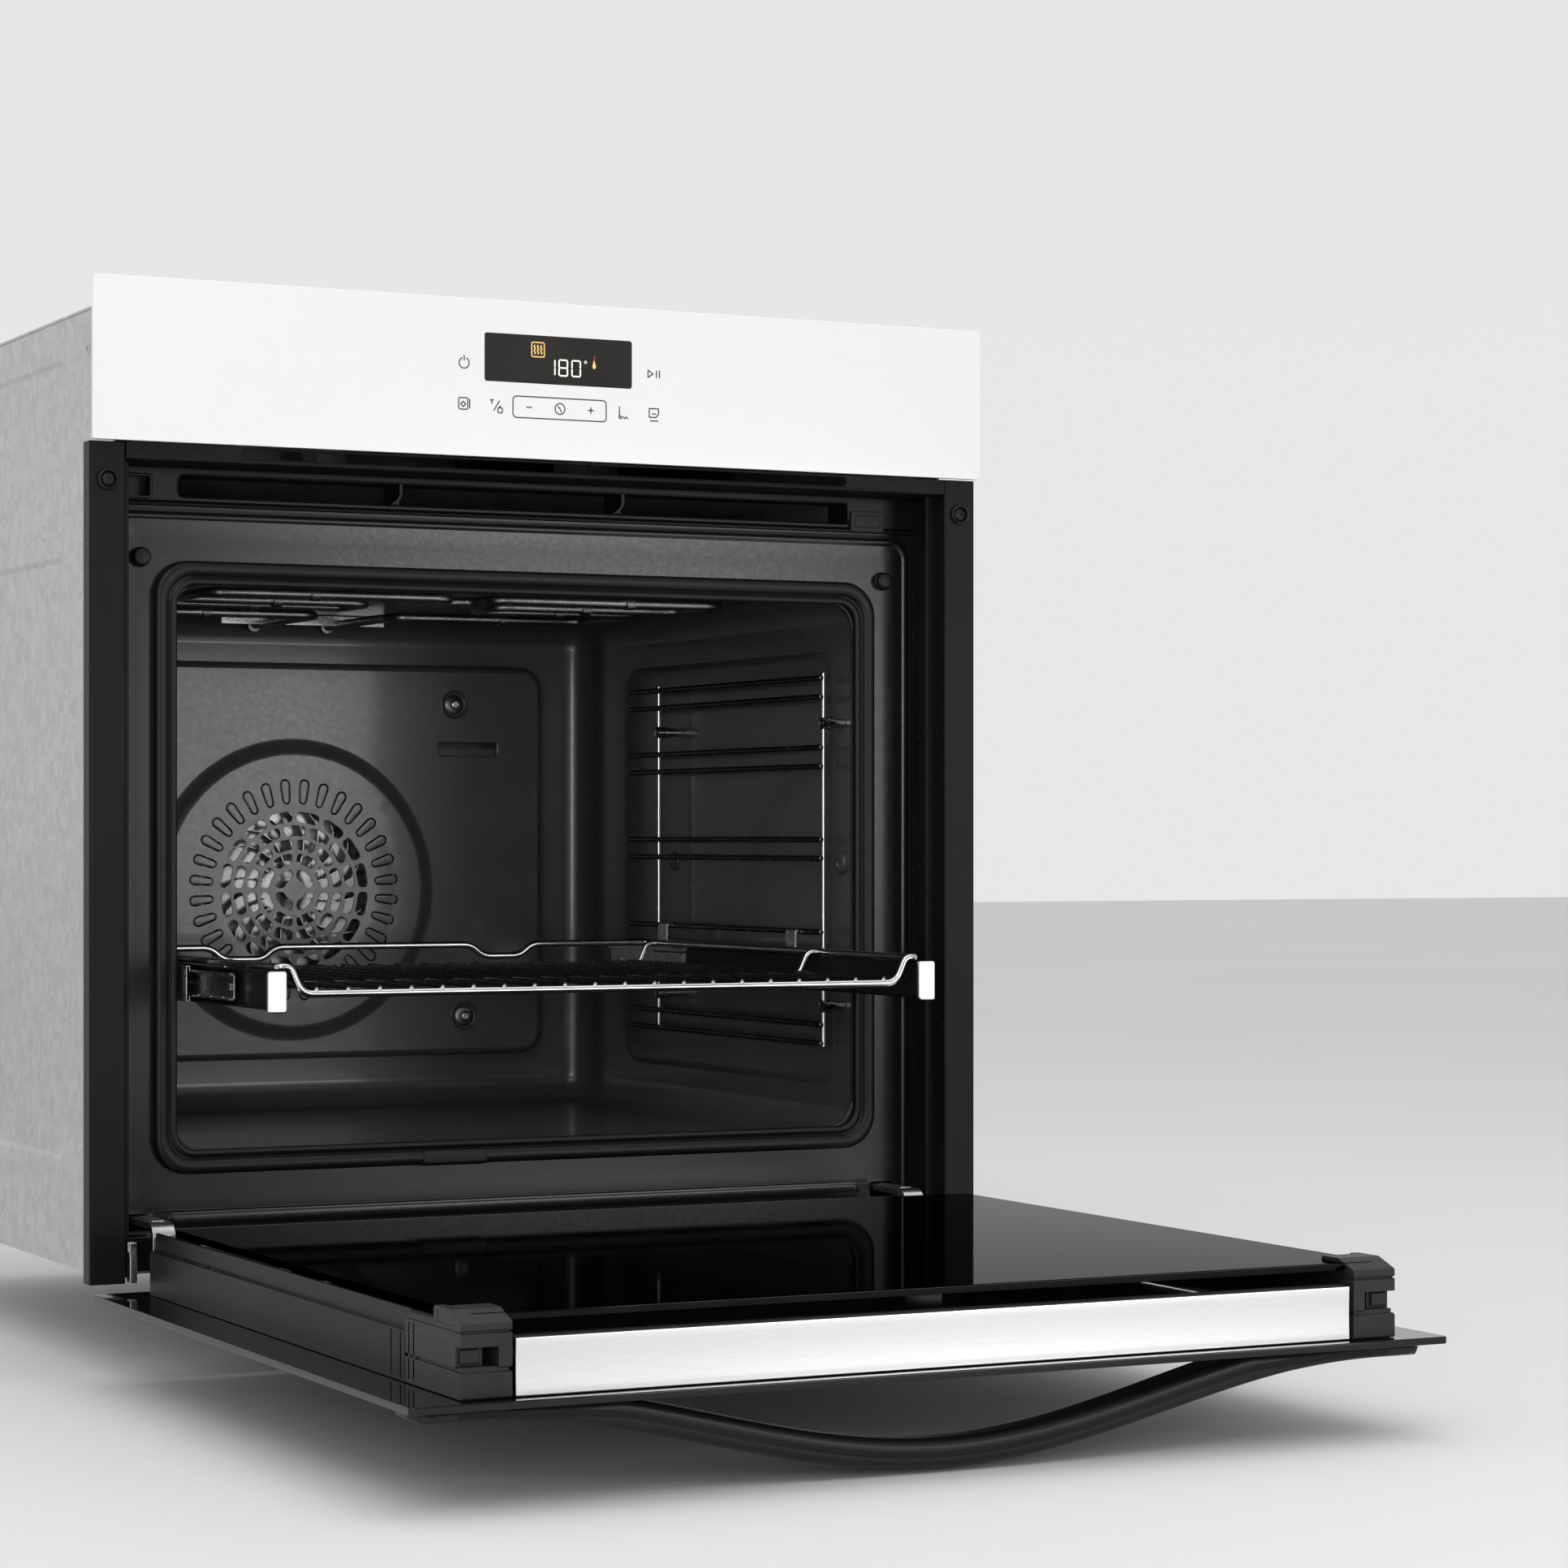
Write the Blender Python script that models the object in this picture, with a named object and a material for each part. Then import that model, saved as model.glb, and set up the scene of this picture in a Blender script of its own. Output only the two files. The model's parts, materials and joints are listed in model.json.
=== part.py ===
"""Built-in wall oven with its drop-down door open and its wire rack pulled out.

World frame: metres, +Z up, the front faces -Y, +X to the right, with the origin at the centre
of the casing's underside. The sizes below are in millimetres, in the coordinates that a fitter
uses: x from the centre line, depth behind the front face of the control fascia, and height above
the lower edge of the front. world() turns them into world metres.

The door pieces are given by their distance along the door from the hinge axis and by their
height above that axis, as they lie with the door open. door() turns them into depth and height.
"""
import math

import bmesh
import bpy
from mathutils import Vector

# Fitting sizes of the appliance
FRONT_HALF_W = 297.0      # the front is 594 wide
FRONT_TOP = 595.0
FASCIA_BOTTOM = 499.0
CASING_HALF_W = 279.0
CASING_FLOOR = 7.5        # underside of the casing
CASING_ROOF = 584.5
CASING_BACK = 568.0
CARCASS_FACE = 20.0       # the depth at which the side strips rest on the cabinet
GAP = 0.3                 # left between pieces that touch
SHEET = 1.5               # thickness of the sheet metal

# Oven cavity
CAVITY_HALF_W = 240.0
CAVITY_FLOOR = 71.0
CAVITY_ROOF = 428.0
CAVITY_FRONT = 52.8
CAVITY_BACK = 490.0
PLATE_FRONT = 51.0        # front face of the plate round the mouth
PLATE_TOP = 466.0
MOUTH_HALF_W = 231.0
MOUTH_LOW = 80.5
MOUTH_HIGH = 419.5
FAN_COVER_FACE = 468.0
FAN_HEIGHT = 230.0

# Door, in door coordinates
HINGE_DEPTH = 4.5
HINGE_HEIGHT = 3.5
DOOR_LENGTH = 492.0       # hinge axis to the far edge of the outer pane
PANE = 4.0
INNER_PANE_LOW = 35.5     # underside of the inner pane
DOOR_HALF_W = 268.0       # the door's body inside the outer pane
CAP_INNER_X = 241.5
HANDLE_ALONG = 466.5      # centre of the handle, from the hinge axis
HANDLE_DROP = 41.0        # how far the bow bends away from the pane
HANDLE_BAND = 15.5

# Telescopic rails and rack, drawn pulled out by RAIL_TRAVEL
RAIL_TRAVEL = 135.0
RAIL_LOW = 168.5
RAIL_HIGH = 191.0
RAIL_OUT_FRONT = -75.5    # front end of the moving rail
RACK_FRONT = -70.0
RACK_BACK = 312.0
RACK_SIDE_X = 209.0
RACK_LOW = 178.0
RACK_HIGH = 193.6
RACK_ROD = 2.3
RACK_CROSS_ROD = 2.07      # radius of the two rods across, under the wires
RACK_CROSS_DEPTHS = (55.0, 296.0)
RACK_WIRES = 20
WIRE_PITCH = 19.6

# Side grids
GRID_X = 225.0
GRID_FRONT = 80.0
GRID_REAR = 329.0
GRID_ROD = 2.0
RUNG_LEVELS = (138.8, 199.6, 260.3, 320.8, 366.4)
RUNG_SPREAD = 6.2         # half the distance between the two rungs of a level
RUNG_INSET = 3.0          # how far the rungs stand inward of the uprights

FINISHES = {              # colour, roughness, metallic
    "white_glass": ((0.87, 0.87, 0.88), 0.12, 0.0),
    "black_glass": ((0.012, 0.012, 0.013), 0.05, 0.0),
    "clear_glass": ((0.20, 0.22, 0.22), 0.05, 0.0),
    "black_enamel": ((0.02, 0.02, 0.021), 0.22, 0.0),
    "black_paint": ((0.03, 0.03, 0.03), 0.35, 0.0),
    "black_plastic": ((0.02, 0.02, 0.02), 0.5, 0.0),
    "grey_plastic": ((0.09, 0.09, 0.09), 0.55, 0.0),
    "zinc_steel": ((0.55, 0.56, 0.57), 0.4, 0.9),
    "chrome_wire": ((0.72, 0.71, 0.69), 0.15, 1.0),
    "bright_strip": ((0.85, 0.85, 0.86), 0.3, 0.9),
    "element_steel": ((0.25, 0.24, 0.23), 0.4, 0.9),
    "gasket_rubber": ((0.02, 0.02, 0.02), 0.6, 0.0),
    "mineral_wool": ((0.55, 0.52, 0.40), 0.95, 0.0),
    "circuit_board": ((0.04, 0.18, 0.08), 0.5, 0.0),
    "lamp_glass": ((0.8, 0.8, 0.75), 0.1, 0.0),
}


# ---------------------------------------------------------------- frames and scene

def world(x, depth, height):
    """World place in metres of a point in fitting coordinates."""
    middle_depth = (CARCASS_FACE + CASING_BACK) / 2
    return Vector((x, depth - middle_depth, height - CASING_FLOOR)) * 0.001


def door(along, above):
    """Depth and height of a point of the open door."""
    return HINGE_DEPTH - along, HINGE_HEIGHT + above


def clear_scene():
    for old in list(bpy.data.objects):
        bpy.data.objects.remove(old, do_unlink=True)


def finish(name):
    """The material of one finish, made once."""
    if name in bpy.data.materials:
        return bpy.data.materials[name]
    colour, roughness, metallic = FINISHES[name]
    material = bpy.data.materials.new(name)
    material.use_nodes = True
    shader = material.node_tree.nodes["Principled BSDF"]
    shader.inputs["Base Color"].default_value = (*colour, 1.0)
    shader.inputs["Roughness"].default_value = roughness
    shader.inputs["Metallic"].default_value = metallic
    return material


def empty(name, place):
    """An empty on a joint's axis, which the moving pieces hang from."""
    anchor = bpy.data.objects.new(name, None)
    anchor.empty_display_size = 0.03
    anchor.location = place
    bpy.context.collection.objects.link(anchor)
    return anchor


def solid(name, bm, finish_name, parent=None, smooth=False):
    """Turn a bmesh in fitting coordinates into an object with a sensible origin."""
    for vertex in bm.verts:
        vertex.co = world(*vertex.co)
    lows = Vector([min(v.co[i] for v in bm.verts) for i in range(3)])
    highs = Vector([max(v.co[i] for v in bm.verts) for i in range(3)])
    origin = parent.location.copy() if parent else (lows + highs) / 2
    bmesh.ops.translate(bm, verts=bm.verts, vec=-origin)
    bmesh.ops.recalc_face_normals(bm, faces=bm.faces)
    mesh = bpy.data.meshes.new(name)
    bm.to_mesh(mesh)
    bm.free()
    piece = bpy.data.objects.new(name, mesh)
    bpy.context.collection.objects.link(piece)
    if parent:
        piece.parent = parent
    else:
        piece.location = origin
    if finish_name:
        mesh.materials.append(finish(finish_name))
    if smooth:
        mesh.shade_smooth()
        mesh.set_sharp_from_angle(angle=math.radians(40))
    return piece


def helper(bm, name):
    """A hidden solid for a Boolean."""
    piece = solid(name, bm, None)
    piece.hide_render = True
    piece.display_type = "WIRE"
    return piece


def combine(piece, bm, operation):
    """Cut a bmesh's solids out of a piece, or unite them with it."""
    tool = helper(bm, piece.name + "_tool")
    boolean = piece.modifiers.new(operation.lower(), "BOOLEAN")
    boolean.operation = operation
    boolean.solver = "EXACT"
    boolean.use_self = True
    boolean.object = tool
    return piece


# ---------------------------------------------------------------- shapes, as bmesh

def add_box(bm, low, high):
    corners = [(x, y, z) for x in (low[0], high[0]) for y in (low[1], high[1])
               for z in (low[2], high[2])]
    v = [bm.verts.new(corner) for corner in corners]
    for quad in ((0, 1, 3, 2), (4, 6, 7, 5), (0, 4, 5, 1), (2, 3, 7, 6), (0, 2, 6, 4), (1, 5, 7, 3)):
        bm.faces.new([v[i] for i in quad])


def boxes(*pairs):
    """Separate boxes in one bmesh, each given by two opposite corners."""
    bm = bmesh.new()
    for first, second in pairs:
        add_box(bm, [min(p) for p in zip(first, second)], [max(p) for p in zip(first, second)])
    return bm


def on_axis(axis, a, b, along):
    """A 3-D point from two coordinates across an axis and one along it."""
    return {"x": (along, a, b), "depth": (a, along, b), "height": (a, b, along)}[axis]


def extrusion(outline, axis, start, stop):
    """A closed outline pulled straight along an axis."""
    bm = bmesh.new()
    rings = [[bm.verts.new(on_axis(axis, a, b, t)) for a, b in outline] for t in (start, stop)]
    bm.faces.new(rings[0])
    bm.faces.new(rings[1])
    bridge(bm, rings[0], rings[1])
    return bm


def bridge(bm, ring, other):
    count = len(ring)
    for i in range(count):
        j = (i + 1) % count
        bm.faces.new((ring[i], ring[j], other[j], other[i]))


def rounded_rectangle(left, low, right, high, radius, steps=3):
    centres = ((right - radius, high - radius, 0), (left + radius, high - radius, 90),
               (left + radius, low + radius, 180), (right - radius, low + radius, 270))
    points = []
    for cx, cz, first in centres:
        for step in range(steps + 1):
            angle = math.radians(first + 90 * step / steps)
            points.append((cx + radius * math.cos(angle), cz + radius * math.sin(angle)))
    return points


def ring_plate(outer, inner, axis, start, stop):
    """A plate with one opening; both outlines have the same number of points."""
    bm = bmesh.new()
    rings = [[bm.verts.new(on_axis(axis, a, b, t)) for a, b in outline]
             for outline, t in ((outer, start), (outer, stop), (inner, stop), (inner, start))]
    for ring, other in zip(rings, rings[1:] + rings[:1]):
        bridge(bm, ring, other)
    return bm


def pan(outer, inner, open_end, floor_in, floor_out):
    """A shell open at one depth, with its floor between two others."""
    bm = bmesh.new()
    rings = [[bm.verts.new(on_axis("depth", a, b, t)) for a, b in outline]
             for outline, t in ((inner, floor_in), (inner, open_end),
                                (outer, open_end), (outer, floor_out))]
    for ring, other in zip(rings, rings[1:]):
        bridge(bm, ring, other)
    bm.faces.new(rings[0])
    bm.faces.new(rings[-1])
    return bm


def turned(profile, axis, centre, segments=20):
    """A profile of (radius, place along the axis), turned about it; it starts and ends at
    radius 0."""
    bm = bmesh.new()
    add_turned(bm, profile, axis, centre, segments)
    return bm


def add_turned(bm, profile, axis, centre, segments):
    rings = []
    for radius, along in profile:
        if radius == 0:
            rings.append([bm.verts.new(on_axis(axis, *centre, along))])
            continue
        ring = []
        for i in range(segments):
            angle = 2 * math.pi * i / segments
            a = centre[0] + radius * math.cos(angle)
            b = centre[1] + radius * math.sin(angle)
            ring.append(bm.verts.new(on_axis(axis, a, b, along)))
        rings.append(ring)
    for ring, other in zip(rings, rings[1:]):
        if len(ring) > 1 and len(other) > 1:
            bridge(bm, ring, other)
            continue
        tip, rim = (ring[0], other) if len(ring) == 1 else (other[0], ring)
        for i in range(segments):
            bm.faces.new((tip, rim[i], rim[(i + 1) % segments]))


def drum(radius, axis, centre, start, stop, segments=16):
    """A plain round bar or disc."""
    return turned(((0, start), (radius, start), (radius, stop), (0, stop)), axis, centre, segments)


def filleted(points, radius, steps=3, closed=False):
    """The points of a path with each corner rounded."""
    points = [Vector(p) for p in points]
    count = len(points)
    path = []
    for i, corner in enumerate(points):
        if not closed and i in (0, count - 1):
            path.append(corner)
            continue
        before = points[i - 1] - corner
        after = points[(i + 1) % count] - corner
        reach = min(radius, before.length * 0.45, after.length * 0.45)
        start = corner + before.normalized() * reach
        stop = corner + after.normalized() * reach
        for step in range(steps + 1):
            t = step / steps
            path.append(start.lerp(corner, t).lerp(corner.lerp(stop, t), t))
    return path


def add_rod(bm, path, radius, sides=6, closed=False):
    """A round bar swept along a path."""
    path = [Vector(p) for p in path]
    count = len(path)
    side = None
    rings = []
    for i, point in enumerate(path):
        ahead = path[(i + 1) % count] if closed or i < count - 1 else point
        behind = path[i - 1] if closed or i > 0 else point
        tangent = (ahead - behind).normalized()
        if side is None:
            side = tangent.orthogonal().normalized()
        side = (side - tangent * side.dot(tangent)).normalized()
        across = tangent.cross(side)
        angles = [2 * math.pi * (k + 0.5) / sides for k in range(sides)]
        rings.append([bm.verts.new(point + (side * math.cos(a) + across * math.sin(a)) * radius)
                      for a in angles])
    for ring, other in zip(rings, rings[1:]):
        bridge(bm, ring, other)
    if closed:
        join_twisted(bm, rings[-1], rings[0])
    else:
        bm.faces.new(rings[0])
        bm.faces.new(rings[-1])


def join_twisted(bm, ring, other):
    """Bridge two rings that may be turned against each other."""
    count = len(ring)
    shift = min(range(count), key=lambda s: sum((ring[i].co - other[(i + s) % count].co).length
                                                for i in range(count)))
    bridge(bm, ring, [other[(i + shift) % count] for i in range(count)])


def rod(path, radius, sides=6, closed=False):
    bm = bmesh.new()
    add_rod(bm, path, radius, sides, closed)
    return bm


# ---------------------------------------------------------------- casing and front

def build_casing():
    """A folded sheet for the base and both sides, with a back and a lid."""
    half, inner = CASING_HALF_W, CASING_HALF_W - SHEET
    wrap = ((-half, CASING_FLOOR), (half, CASING_FLOOR), (half, CASING_ROOF - SHEET),
            (inner, CASING_ROOF - SHEET), (inner, CASING_FLOOR + SHEET),
            (-inner, CASING_FLOOR + SHEET), (-inner, CASING_ROOF - SHEET),
            (-half, CASING_ROOF - SHEET))
    back_face = CASING_BACK - SHEET
    casing = solid("casing_wrap", extrusion(wrap, "depth", PLATE_FRONT + 2, back_face - GAP),
                   "zinc_steel")
    cheeks = [((s * inner, CARCASS_FACE + 1, CASING_FLOOR), (s * half, PLATE_FRONT + 4,
                                                            CASING_ROOF - SHEET)) for s in (-1, 1)]
    combine(casing, boxes(*cheeks), "UNION")
    back = solid("casing_back", boxes(((-half, back_face, CASING_FLOOR),
                                       (half, CASING_BACK, CASING_ROOF - SHEET))), "zinc_steel")
    combine(back, drum(9, "depth", (200, 540), back_face - 5, CASING_BACK + 5), "DIFFERENCE")
    solid("casing_lid", boxes(((-half, CARCASS_FACE + 1, CASING_ROOF - SHEET + GAP),
                               (half, CASING_BACK, CASING_ROOF + GAP))), "zinc_steel")
    build_insulation()
    build_terminal_block()


def build_insulation():
    outer = rounded_rectangle(-258, 38, 258, 447, 26)
    inner = rounded_rectangle(-245, 54, 245, 433, 22)
    solid("insulation", ring_plate(outer, inner, "depth", PLATE_FRONT + 6, 484), "mineral_wool")


def build_terminal_block():
    block = solid("terminal_block", boxes(((165, 535, 515), (235, CASING_BACK - SHEET - GAP, 565))),
                  "black_plastic")
    combine(block, drum(8, "depth", (200, 540), 560, CASING_BACK - 0.2), "UNION")


def build_front():
    """The plate round the mouth, the strips beside the door and the bar under the fascia."""
    half = CASING_HALF_W - 4.3
    outer = rounded_rectangle(-half, CASING_FLOOR + 1.8, half, PLATE_TOP, 2)
    inner = rounded_rectangle(-MOUTH_HALF_W, MOUTH_LOW, MOUTH_HALF_W, MOUTH_HIGH, 18)
    plate = solid("front_plate",
                  ring_plate(outer, inner, "depth", PLATE_FRONT, PLATE_FRONT + SHEET), "black_enamel")
    slots = [((s * 243.5, 45, 33.5), (s * 260.5, 60, 43.5)) for s in (-1, 1)]
    combine(plate, boxes(*slots), "DIFFERENCE")
    for name, sign in (("side_strip_left", -1), ("side_strip_right", 1)):
        build_side_strip(name, sign)
    bar = ((8, 488.8), (49, 488.8), (49, 490.3), (9.5, 490.3), (9.5, 498.7), (8, 498.7))
    crossbar = solid("front_crossbar", extrusion(bar, "x", -half, half), "black_paint")
    combine(crossbar, boxes(((-203, 5, 492), (203, 12, 497.5))), "DIFFERENCE")
    outlet = solid("air_outlet", boxes(((-half, PLATE_FRONT, PLATE_TOP + GAP), (half, 80, 490))),
                   "black_plastic")
    slots = [((a, 40, 472), (b, 90, 485)) for a, b in ((-228, -87), (-83, 64), (68, 228))]
    combine(outlet, boxes(*slots), "DIFFERENCE")


def build_side_strip(name, sign):
    """A strip that rests on the cabinet's edge, with the wall of the door's recess behind it."""
    outline = [(sign * x, d) for x, d in ((275, 8), (297, 8), (297, CARCASS_FACE),
                                          (279.5, CARCASS_FACE), (279.5, CARCASS_FACE - 1),
                                          (276.5, CARCASS_FACE - 1), (276.5, 50.7), (275, 50.7))]
    strip = solid(name, extrusion(outline, "height", CASING_FLOOR, FASCIA_BOTTOM - GAP), "black_paint")
    combine(strip, drum(2.6, "depth", (sign * 285.8, 476.5), 4, 25, 12), "DIFFERENCE")
    side = "left" if sign < 0 else "right"
    head = ((0, 5), (5, 5), (6.5, 6), (6.5, 7.7), (2.2, 7.7), (2.2, 30), (0, 33))
    solid("fixing_screw_" + side, turned(head, "depth", (sign * 285.8, 476.5), 12),
          "black_plastic", smooth=True)
    stop = ((0, 44.4), (4.8, 44.4), (6, 45.4), (6, 50.7), (0, 50.7))
    solid("bump_stop_" + side, turned(stop, "depth", (sign * 252.4, 435), 12),
          "gasket_rubber", smooth=True)


def build_gasket():
    outer = rounded_rectangle(-245, 66.3, 245, 433.6, 22, 4)
    inner = rounded_rectangle(-230.5, 81, 230.5, 419, 12, 4)
    solid("door_gasket", ring_plate(outer, inner, "depth", 44.4, PLATE_FRONT - GAP),
          "gasket_rubber", smooth=True)


def build_fascia():
    panel = solid("control_fascia", boxes(((-FRONT_HALF_W, 0, FASCIA_BOTTOM),
                                           (FRONT_HALF_W, PANE, FRONT_TOP))), "white_glass")
    combine(panel, boxes(((-51, -3, 545), (48, 8, 574.5))), "DIFFERENCE")
    solid("display_window", boxes(((-50.7, 0.1, 545.3), (47.7, PANE, 574.2))), "black_glass")
    carrier = solid("fascia_carrier", boxes(((-292, PANE + GAP, 502), (292, 19.7, 592))),
                    "black_plastic")
    hollows = (((-290, 6.5, 504), (290, 24, 590)), ((-48, 0, 548), (45, 10, 572)))
    combine(carrier, boxes(*hollows), "DIFFERENCE")
    board = solid("control_board", boxes(((-95, 12, 512), (95, 13.6, 585))), "circuit_board")
    combine(board, boxes(((-47, 7, 549), (44, 12.5, 571))), "UNION")


# ---------------------------------------------------------------- cavity

def build_cavity():
    outer = rounded_rectangle(-CAVITY_HALF_W - SHEET, CAVITY_FLOOR - SHEET,
                              CAVITY_HALF_W + SHEET, CAVITY_ROOF + SHEET, 21.5, 4)
    inner = rounded_rectangle(-CAVITY_HALF_W, CAVITY_FLOOR, CAVITY_HALF_W, CAVITY_ROOF, 20, 4)
    muffle = solid("cavity_muffle", pan(outer, inner, CAVITY_FRONT, CAVITY_BACK,
                                        CAVITY_BACK + SHEET), "black_enamel")
    cutter = drum(8, "depth", (0, FAN_HEIGHT), CAVITY_BACK - 4, CAVITY_BACK + 6, 16)
    add_turned(cutter, ((0, -246), (21, -246), (21, -236), (0, -236)), "x", (435, 370), 16)
    combine(muffle, cutter, "DIFFERENCE")
    lens = ((0, -229), (12, -230), (21, -234), (24, -238), (24, -239.6), (20, -239.6),
            (20, -243), (0, -243))
    solid("lamp_lens", turned(lens, "x", (435, 370), 16), "lamp_glass", smooth=True)
    build_fan_cover()
    build_elements()


def build_fan_cover():
    """The pressed panel in front of the fan, with rings of slots round the fan's centre."""
    outer = rounded_rectangle(-198, 107.5, 198, 394.5, 16, 3)
    inner = rounded_rectangle(-196.5, 109, 196.5, 393, 14.5, 3)
    cover = solid("fan_cover", pan(outer, inner, CAVITY_BACK - GAP, FAN_COVER_FACE + SHEET,
                                   FAN_COVER_FACE), "black_enamel")
    cutter = bmesh.new()
    for radius, count in ((12, 4), (23, 8), (33, 12), (43, 14), (53, 16)):
        for i in range(count):
            add_slot(cutter, radius, 360 * i / count, 360 / count * 0.62)
    for x, height in fan_cover_screw_places():
        add_turned(cutter, ((0, 460), (2.6, 460), (2.6, 475), (0, 475)), "depth", (x, height), 8)
    combine(cover, cutter, "DIFFERENCE")
    head = ((0, 465), (4.5, 465), (6, 466.5), (6, FAN_COVER_FACE - GAP),
            (2.2, FAN_COVER_FACE - GAP), (2.2, CAVITY_BACK - GAP), (0, CAVITY_BACK - GAP))
    for number, place in enumerate(fan_cover_screw_places(), 1):
        solid("fan_cover_screw_%d" % number, turned(head, "depth", place, 8), "zinc_steel",
              smooth=True)


def fan_cover_screw_places():
    return [(x, height) for height, half in ((366.0, 127.0), (136.0, 135.0)) for x in (-half, half)]


def add_slot(bm, radius, angle, spread):
    """A cutter for one slot of the fan cover, 6.4 wide across the radius."""
    half = math.radians(spread / 2)
    middle = math.radians(angle)
    corners = []
    for r, a in ((radius - 3.2, -half), (radius + 3.2, -half), (radius + 3.2, half),
                 (radius - 3.2, half)):
        corners.append((r * math.cos(middle + a), FAN_HEIGHT + r * math.sin(middle + a)))
    rings = [[bm.verts.new((x, depth, z)) for x, z in corners]
             for depth in (FAN_COVER_FACE - 3, FAN_COVER_FACE + 4)]
    bm.faces.new(rings[0][::-1])
    bm.faces.new(rings[1])
    bridge(bm, rings[0], rings[1])


def build_elements():
    circle = [(82 * math.cos(math.radians(a)), 480, FAN_HEIGHT + 82 * math.sin(math.radians(a)))
              for a in range(-80, 261, 17)]
    ends = [[(x, CAVITY_BACK - GAP, z)] for x, _, z in (circle[0], circle[-1])]
    solid("ring_element", rod(ends[0] + circle + ends[1], 3.2), "element_steel", smooth=True)
    half = ((28, 489), (28, 345), (172, 345), (172, 250), (45, 250), (45, 205), (180, 205),
            (180, 135), (14, 135), (14, 168))
    loop = [(-x, depth, 421.5) for x, depth in half]
    loop += [(x, depth, 421.5) for x, depth in reversed(half)]
    solid("grill_element", rod(filleted(loop, 14, 2), 3.2), "element_steel", smooth=True)
    floor_loop = ((-30, 470), (-30, 400), (-170, 400), (-170, 110), (170, 110), (170, 400),
                  (30, 400), (30, 470))
    path = filleted([(x, depth, 62) for x, depth in floor_loop], 25, 2)
    solid("bottom_element", rod(path, 3.2), "element_steel", smooth=True)


def build_side_grid(name, sign):
    """A wire ladder with five levels of paired rungs, held off the wall by spacers."""
    x = sign * GRID_X
    low = RUNG_LEVELS[0] - RUNG_SPREAD - 3
    high = RUNG_LEVELS[-1] + RUNG_SPREAD + 4
    grid = solid(name, rod([(x, GRID_FRONT, low), (x, GRID_FRONT, high)], GRID_ROD), "chrome_wire")
    bm = bmesh.new()
    add_rod(bm, [(x, GRID_REAR, low), (x, GRID_REAR, high)], GRID_ROD)
    for level in RUNG_LEVELS:
        for height in (level - RUNG_SPREAD, level + RUNG_SPREAD):
            add_rod(bm, [(x - sign * RUNG_INSET, GRID_FRONT - 3, height),
                         (x - sign * RUNG_INSET, 375, height)], GRID_ROD * 0.95)
    wall = sign * (CAVITY_HALF_W - GAP)
    for depth in (GRID_FRONT + 0.2, GRID_REAR + 0.2):
        for height in (157.0, 343.0):
            add_turned(bm, ((0, x), (3.6, x), (3.6, wall), (0, wall)), "x", (depth, height), 8)
    combine(grid, bm, "UNION")


# ---------------------------------------------------------------- fans

def build_convection_fan():
    axis = empty("convection_fan_axis", world(0, 480, FAN_HEIGHT))
    profile = ((0, 472), (8, 472), (9, 482.8), (60, 483), (60, 484), (9, 484.5), (4, 485),
               (4, 500), (0, 500))
    fan = solid("convection_fan", turned(profile, "depth", (0, FAN_HEIGHT), 20), "zinc_steel",
                parent=axis)
    blades = bmesh.new()
    for i in range(10):
        add_blade(blades, 36 * i, (22, 58), (473.5, 483.5))
    combine(fan, blades, "UNION")
    motor = ((0, 500.5), (6, 500.5), (6, CAVITY_BACK + SHEET + GAP),
             (45, CAVITY_BACK + SHEET + GAP), (45, 494), (32, 494), (32, 540), (0, 540))
    solid("convection_motor", turned(motor, "depth", (0, FAN_HEIGHT), 20), "zinc_steel")


def add_blade(bm, angle, radii, depths):
    """A thin radial blade of the convection fan."""
    a = math.radians(angle)
    out = Vector((math.cos(a), math.sin(a)))
    across = Vector((-out.y, out.x)) * 0.6
    corners = [out * radii[0] - across, out * radii[1] - across, out * radii[1] + across,
               out * radii[0] + across]
    rings = [[bm.verts.new((c.x, depth, FAN_HEIGHT + c.y)) for c in corners] for depth in depths]
    bm.faces.new(rings[0])
    bm.faces.new(rings[1])
    bridge(bm, rings[0], rings[1])
    bmesh.ops.recalc_face_normals(bm, faces=bm.faces)


def build_cooling():
    """The fan above the cavity that blows through a flat duct and out over the door."""
    duct_out = rounded_rectangle(-230, 467, 230, 488, 2, 1)
    duct_in = rounded_rectangle(-228.5, 468.5, 228.5, 486.5, 1, 1)
    solid("air_duct", ring_plate(duct_out, duct_in, "depth", 80.3, 334), "zinc_steel")
    housing = solid("cooling_fan_housing", boxes(((-95, 334.3, 467), (95, 500, 522))), "zinc_steel")
    hollows = boxes(((-93.5, 336, 468.5), (93.5, 498.5, 520.5)), ((-92, 330, 469), (92, 340, 486)))
    add_turned(hollows, ((0, 515), (26, 515), (26, 530), (0, 530)), "height", (0, 420), 16)
    add_box(hollows, (-60, 495, 475), (60, 505, 512))
    combine(housing, hollows, "DIFFERENCE")
    axis = empty("cooling_fan_axis", world(0, 420, 490))
    profile = ((0, 476), (60, 476), (60, 505), (57.5, 505), (57.5, 478), (8, 478), (8, 482),
               (3, 482), (3, 527), (0, 527))
    solid("cooling_fan_wheel", turned(profile, "height", (0, 420), 16), "zinc_steel", parent=axis)
    motor = ((0, 528), (5, 528), (5, 522.3), (34, 522.3), (34, 524), (27, 524), (27, 562), (0, 562))
    solid("cooling_fan_motor", turned(motor, "height", (0, 420), 16), "zinc_steel")


# ---------------------------------------------------------------- door

def door_box(low, high):
    """Corners of a door piece given as (x, along, above)."""
    return ((low[0], *door(low[1], low[2])), (high[0], *door(high[1], high[2])))


def door_outline(points):
    return [door(along, above) for along, above in points]


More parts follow.
